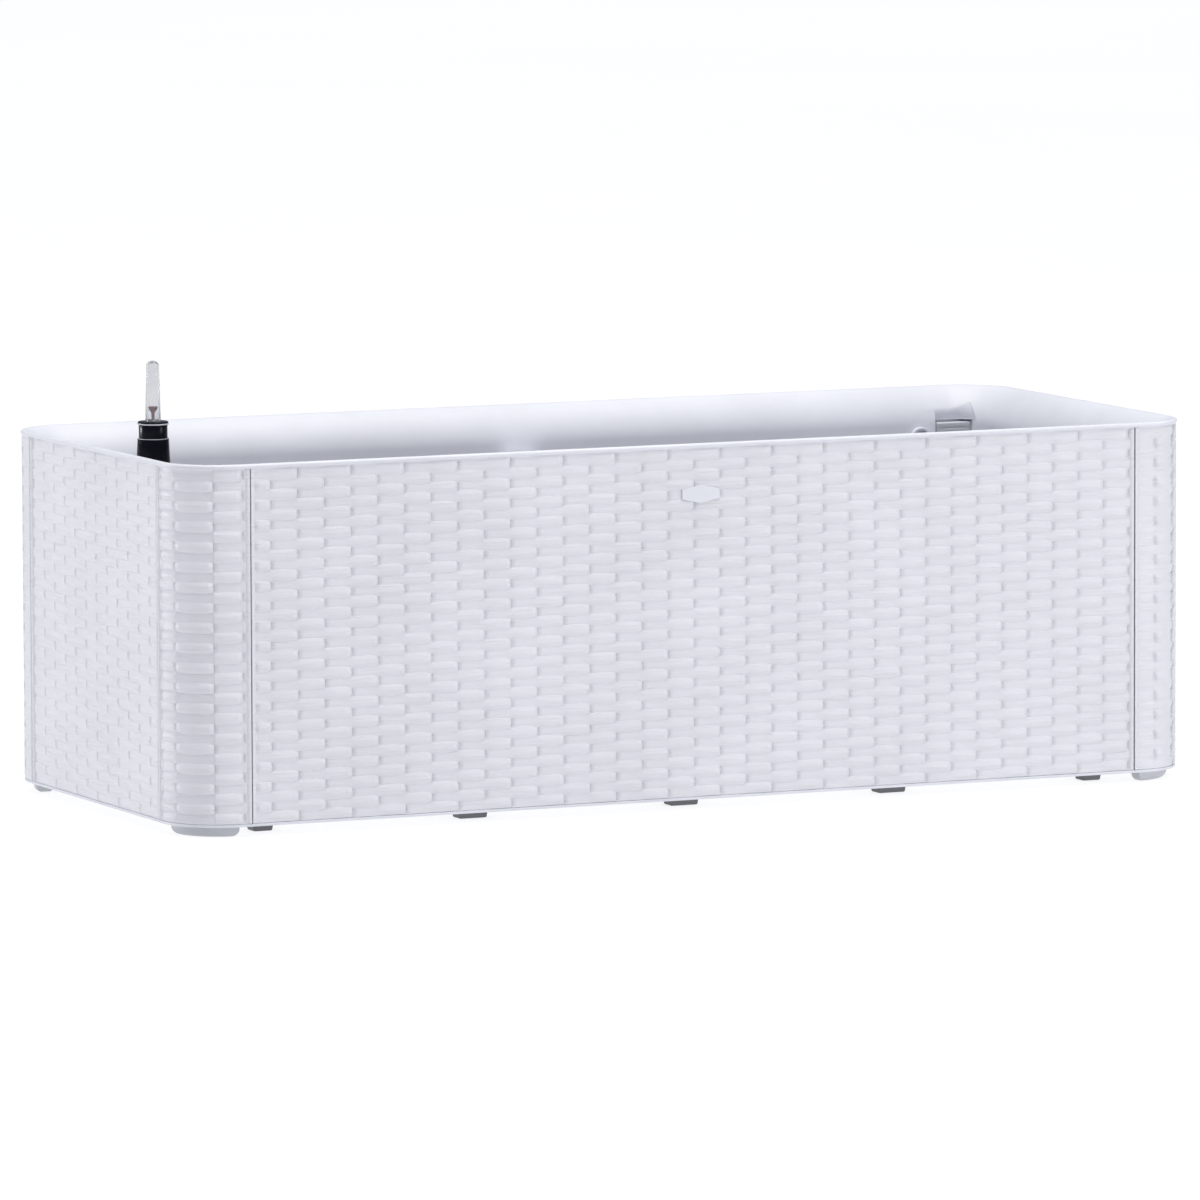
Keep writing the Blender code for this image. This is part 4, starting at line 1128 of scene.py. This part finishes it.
def wick(node, body):
    """A felt cylinder that hangs through the grate by its wider head."""
    low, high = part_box(node)
    head = (high.x - low.x) / 2
    shoulder = high.z - WICK_HEAD
    lower = [(0.0005, low.z), (WICK_RADIUS, low.z), (WICK_RADIUS, shoulder)]
    upper = [(WICK_RADIUS, shoulder), (head, shoulder), (head, high.z), (0.001, high.z + 0.0003)]
    profile = [(0.0, low.z), *rounded(lower, 0.002, 5), *rounded(upper, 0.0012, 5), (0.0, high.z)]
    bm = lathe_bm(profile, 40)
    centre = Vector(((low.x + high.x) / 2, (low.y + high.y) / 2, 0))
    bmesh.ops.translate(bm, vec=centre, verts=bm.verts)
    bmesh.ops.remove_doubles(bm, verts=bm.verts, dist=1e-6)
    finish_piece(from_bmesh(node + "_felt", bm), "wick_felt", body, node)


# ---- filler tube, gauge and float
def turned(name, slot, body, profile, *nodes, hollow=True):
    """A piece turned round the gauge's axis."""
    bm = lathe_bm(profile, hollow=hollow)
    bmesh.ops.translate(bm, vec=(GAUGE_AXIS.x, GAUGE_AXIS.y, 0), verts=bm.verts)
    finish_piece(from_bmesh(name, bm, 50), slot, body, *nodes)


def gauge():
    """The filler tube, the gauge that drops into it, and the red head inside the sight tube."""
    tube_low, tube_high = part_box("filler_tube")
    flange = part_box("grate_left")[1].z + NODE_GAP
    loop = [
        (TUBE_BORE, tube_low.z),
        (TUBE_RADIUS, tube_low.z),
        (TUBE_RADIUS, flange),
        (FLANGE_RADIUS, flange),
        (FLANGE_RADIUS, flange + FLANGE_THICK),
        (TUBE_RADIUS, flange + FLANGE_THICK),
        (TUBE_RADIUS, TUBE_TAPER_Z),
        (TUBE_MOUTH, tube_high.z),
        (TUBE_BORE, tube_high.z),
    ]
    profile = rounded(loop, 0.0005, 3, True)
    turned("filler_tube_fine", "black_plastic", "grate_left", profile, "filler_tube")

    low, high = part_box("gauge_collar")
    seat = tube_high.z + NODE_GAP
    loop = [(ROD_BORE, low.z), (COLLAR_RADIUS, low.z), (COLLAR_RADIUS, seat)]
    loop += [(COLLAR_LIP, seat), (COLLAR_LIP, high.z), (ROD_BORE, high.z)]
    profile = rounded(loop, 0.0006, 3, True)
    turned("gauge_collar_fine", "black_plastic", "gauge", profile, "gauge_collar")

    low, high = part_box("gauge_bezel")
    radius = (high.x - low.x) / 2
    loop = [(ROD_BORE, low.z), (radius, low.z), (radius, low.z + BEZEL_EDGE_Z)]
    loop += [(radius - BEZEL_DRAW, high.z), (ROD_BORE, high.z)]
    profile = rounded(loop, 0.0006, 4, True)
    turned("gauge_bezel_fine", "black_plastic", "gauge", profile, "gauge_bezel")

    # A light grey ring round the foot of the black bezel: painted highlight, standing for the glint on the
    # gauge's glossy black lip.
    inner, outer = radius - BEZEL_HIGHLIGHT_RING[0], radius + BEZEL_HIGHLIGHT_RING[1]
    z0, z1 = low.z - BEZEL_HIGHLIGHT_RING_Z[0], low.z + BEZEL_HIGHLIGHT_RING_Z[1]
    loop = [(inner, z0), (outer, z0), (outer, z1), (inner, z1)]
    turned("bezel_painted_highlight", "grey_plastic", "gauge", rounded(loop, 0.0004, 3, True))

    # A light grey ring where the collar seats on the tube: painted highlight, standing for the glint on the
    # tube mouth's glossy edge.
    inner, outer = MOUTH_HIGHLIGHT_RING
    z0, z1 = seat - MOUTH_HIGHLIGHT_RING_Z[0], seat + MOUTH_HIGHLIGHT_RING_Z[1]
    loop = [(inner, z0), (outer, z0), (outer, z1), (inner, z1)]
    turned("mouth_painted_highlight", "grey_plastic", "grate_left", rounded(loop, 0.0002, 3, True))

    low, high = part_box("sight_tube")
    bore = SIGHT_RADIUS - SIGHT_WALL
    spring = high.z - SIGHT_DOME
    outer = [(0.0072, low.z), (0.0074, low.z + 0.0006), (SIGHT_FOOT_RADIUS, low.z + 0.0016)]
    outer.append((SIGHT_RADIUS, spring))
    inner = [(SIGHT_FOOT_RADIUS - SIGHT_WALL, low.z), (bore, spring)]
    for k in range(1, SIGHT_DOME_STEPS + 1):
        angle = math.pi / 2 * k / SIGHT_DOME_STEPS
        outer.append((SIGHT_RADIUS * math.cos(angle), spring + SIGHT_DOME * math.sin(angle)))
        inner.append((bore * math.cos(angle), spring + (SIGHT_DOME - SIGHT_WALL) * math.sin(angle)))
    profile = outer[::-1] + inner
    turned("sight_tube_fine", "clear_plastic", "gauge", profile, "sight_tube", hollow=False)

    low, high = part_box("indicator_head")
    stem, head = HEAD_NECK[0][0], HEAD_NECK[-1][0]
    profile = [(0.0, low.z), (stem, low.z)]
    profile += rounded([*HEAD_NECK, (head, high.z), (0.0005, high.z)], 0.0007)
    profile.append((0.0, high.z))
    turned("indicator_head_fine", "red_plastic", "float", profile, "indicator_head", hollow=False)


def plug():
    """The overflow plug and its seal ring."""
    refined("overflow_plug", "grey_plastic", "plug", 0.0004, 3)
    low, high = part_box("plug_seal")
    middle = (low.x + high.x) / 2
    loop = []
    for k in range(SEAL_STEPS):
        angle = 2 * math.pi * k / SEAL_STEPS
        radius = SEAL_RADIUS + SEAL_HALF[0] * math.cos(angle)
        loop.append((radius, middle + SEAL_HALF[1] * math.sin(angle)))
    ring = along_x(lathe_bm(loop, hollow=True))
    finish_piece(from_bmesh("plug_seal_ring", ring), "black_rubber", "plug", "plug_seal")


# ---- floor, light and camera
def studio():
    floor_bm = bmesh.new()
    bmesh.ops.create_grid(floor_bm, x_segments=2, y_segments=2, size=30.0)
    floor = from_bmesh("floor", floor_bm)
    made = Tree("studio_floor")
    made.colour(made.noise(0.7), (0.30, 0.30, 0.303), (0.32, 0.32, 0.323))
    made.set(Roughness=0.9)
    made.shader.inputs["Emission Color"].default_value = (1.0, 1.0, 1.0, 1.0)
    seen = made.add("ShaderNodeLightPath").outputs["Is Camera Ray"]
    glow = made.spread(seen, FLOOR_BOUNCE, FLOOR_GLOW, (0.0, 1.0))
    made.link(glow, made.shader.inputs["Emission Strength"])
    floor.data.materials.append(made.material)

    world = bpy.data.worlds.new("studio")
    bpy.context.scene.world = world
    world.use_nodes = True
    tree = world.node_tree
    tree.nodes.clear()
    add = tree.nodes.new
    link = tree.links.new
    place = add("ShaderNodeTexCoord")
    split = add("ShaderNodeSeparateXYZ")
    link(place.outputs["Generated"], split.inputs["Vector"])
    ramp = add("ShaderNodeValToRGB")
    ramp.color_ramp.elements[0].position = 0.5
    ramp.color_ramp.elements[0].color = (*SKY_LOW, 1.0)
    ramp.color_ramp.elements[1].position = 1.0
    ramp.color_ramp.elements[1].color = (*SKY_HIGH, 1.0)
    ramp.color_ramp.elements.new(0.75).color = (*SKY_MIDDLE, 1.0)
    half = add("ShaderNodeMapRange")
    half.inputs["From Min"].default_value = -1.0
    half.inputs["From Max"].default_value = 1.0
    link(split.outputs["Z"], half.inputs["Value"])
    link(half.outputs["Result"], ramp.inputs["Fac"])
    soft = add("ShaderNodeBackground")
    link(ramp.outputs["Color"], soft.inputs["Color"])
    soft.inputs["Strength"].default_value = SKY_STRENGTH
    plain = add("ShaderNodeBackground")
    plain.inputs["Color"].default_value = (1.0, 1.0, 1.0, 1.0)
    rays = add("ShaderNodeLightPath")
    mix = add("ShaderNodeMixShader")
    link(rays.outputs["Is Camera Ray"], mix.inputs["Fac"])
    link(soft.outputs["Background"], mix.inputs[1])
    link(plain.outputs["Background"], mix.inputs[2])
    out = add("ShaderNodeOutputWorld")
    link(mix.outputs["Shader"], out.inputs["Surface"])
    for name, (azimuth, height, distance, size, power, tint) in LIGHTS.items():
        data = bpy.data.lights.new(name, "AREA")
        data.shape = "RECTANGLE"
        data.size, data.size_y = size
        data.energy = power
        data.color = tint
        lamp = bpy.data.objects.new(name, data)
        angle = math.radians(azimuth)
        lamp.location = (-distance * math.sin(angle), -distance * math.cos(angle), height)
        aim = LIGHT_AIM - lamp.location
        lamp.rotation_euler = aim.to_track_quat("-Z", "Y").to_euler()
        bpy.context.scene.collection.objects.link(lamp)


def camera():
    yaw, pitch, roll = (math.radians(a) for a in (CAMERA_YAW, CAMERA_PITCH, CAMERA_ROLL))
    ahead = Vector((math.sin(yaw) * math.cos(pitch), math.cos(yaw) * math.cos(pitch), -math.sin(pitch)))
    right = Vector((math.cos(yaw), -math.sin(yaw), 0))
    up = right.cross(ahead)
    right_rolled = right * math.cos(roll) + up * math.sin(roll)
    up_rolled = up * math.cos(roll) - right * math.sin(roll)
    data = bpy.data.cameras.new("camera")
    data.lens = CAMERA_LENS
    data.sensor_width = 36.0
    data.clip_end = 100.0
    eye = bpy.data.objects.new("camera", data)
    matrix = Matrix((right_rolled, up_rolled, -ahead)).transposed().to_4x4()
    matrix.translation = CAMERA_PLACE
    eye.matrix_world = matrix
    bpy.context.scene.collection.objects.link(eye)
    bpy.context.scene.camera = eye


# ---- assembly
for kept, kept_slot in (("float", "float_foam"), ("float_rod", "white_rod")):
    NODES[kept].data.materials.clear()
    NODES[kept].data.materials.append(LOOKS[kept_slot])

cladding()
seam_backing()
liner_tub()
base_tray()
feet()
badge()
for corner, (_, corner_side) in CORNERS.items():
    lock_post(corner, corner_side)
    grommet(corner, corner_side)
brace()
false_floor()
gauge()
plug()
studio()
camera()
bpy.context.scene.view_settings.view_transform = "Standard"
bpy.context.scene.view_settings.look = "None"
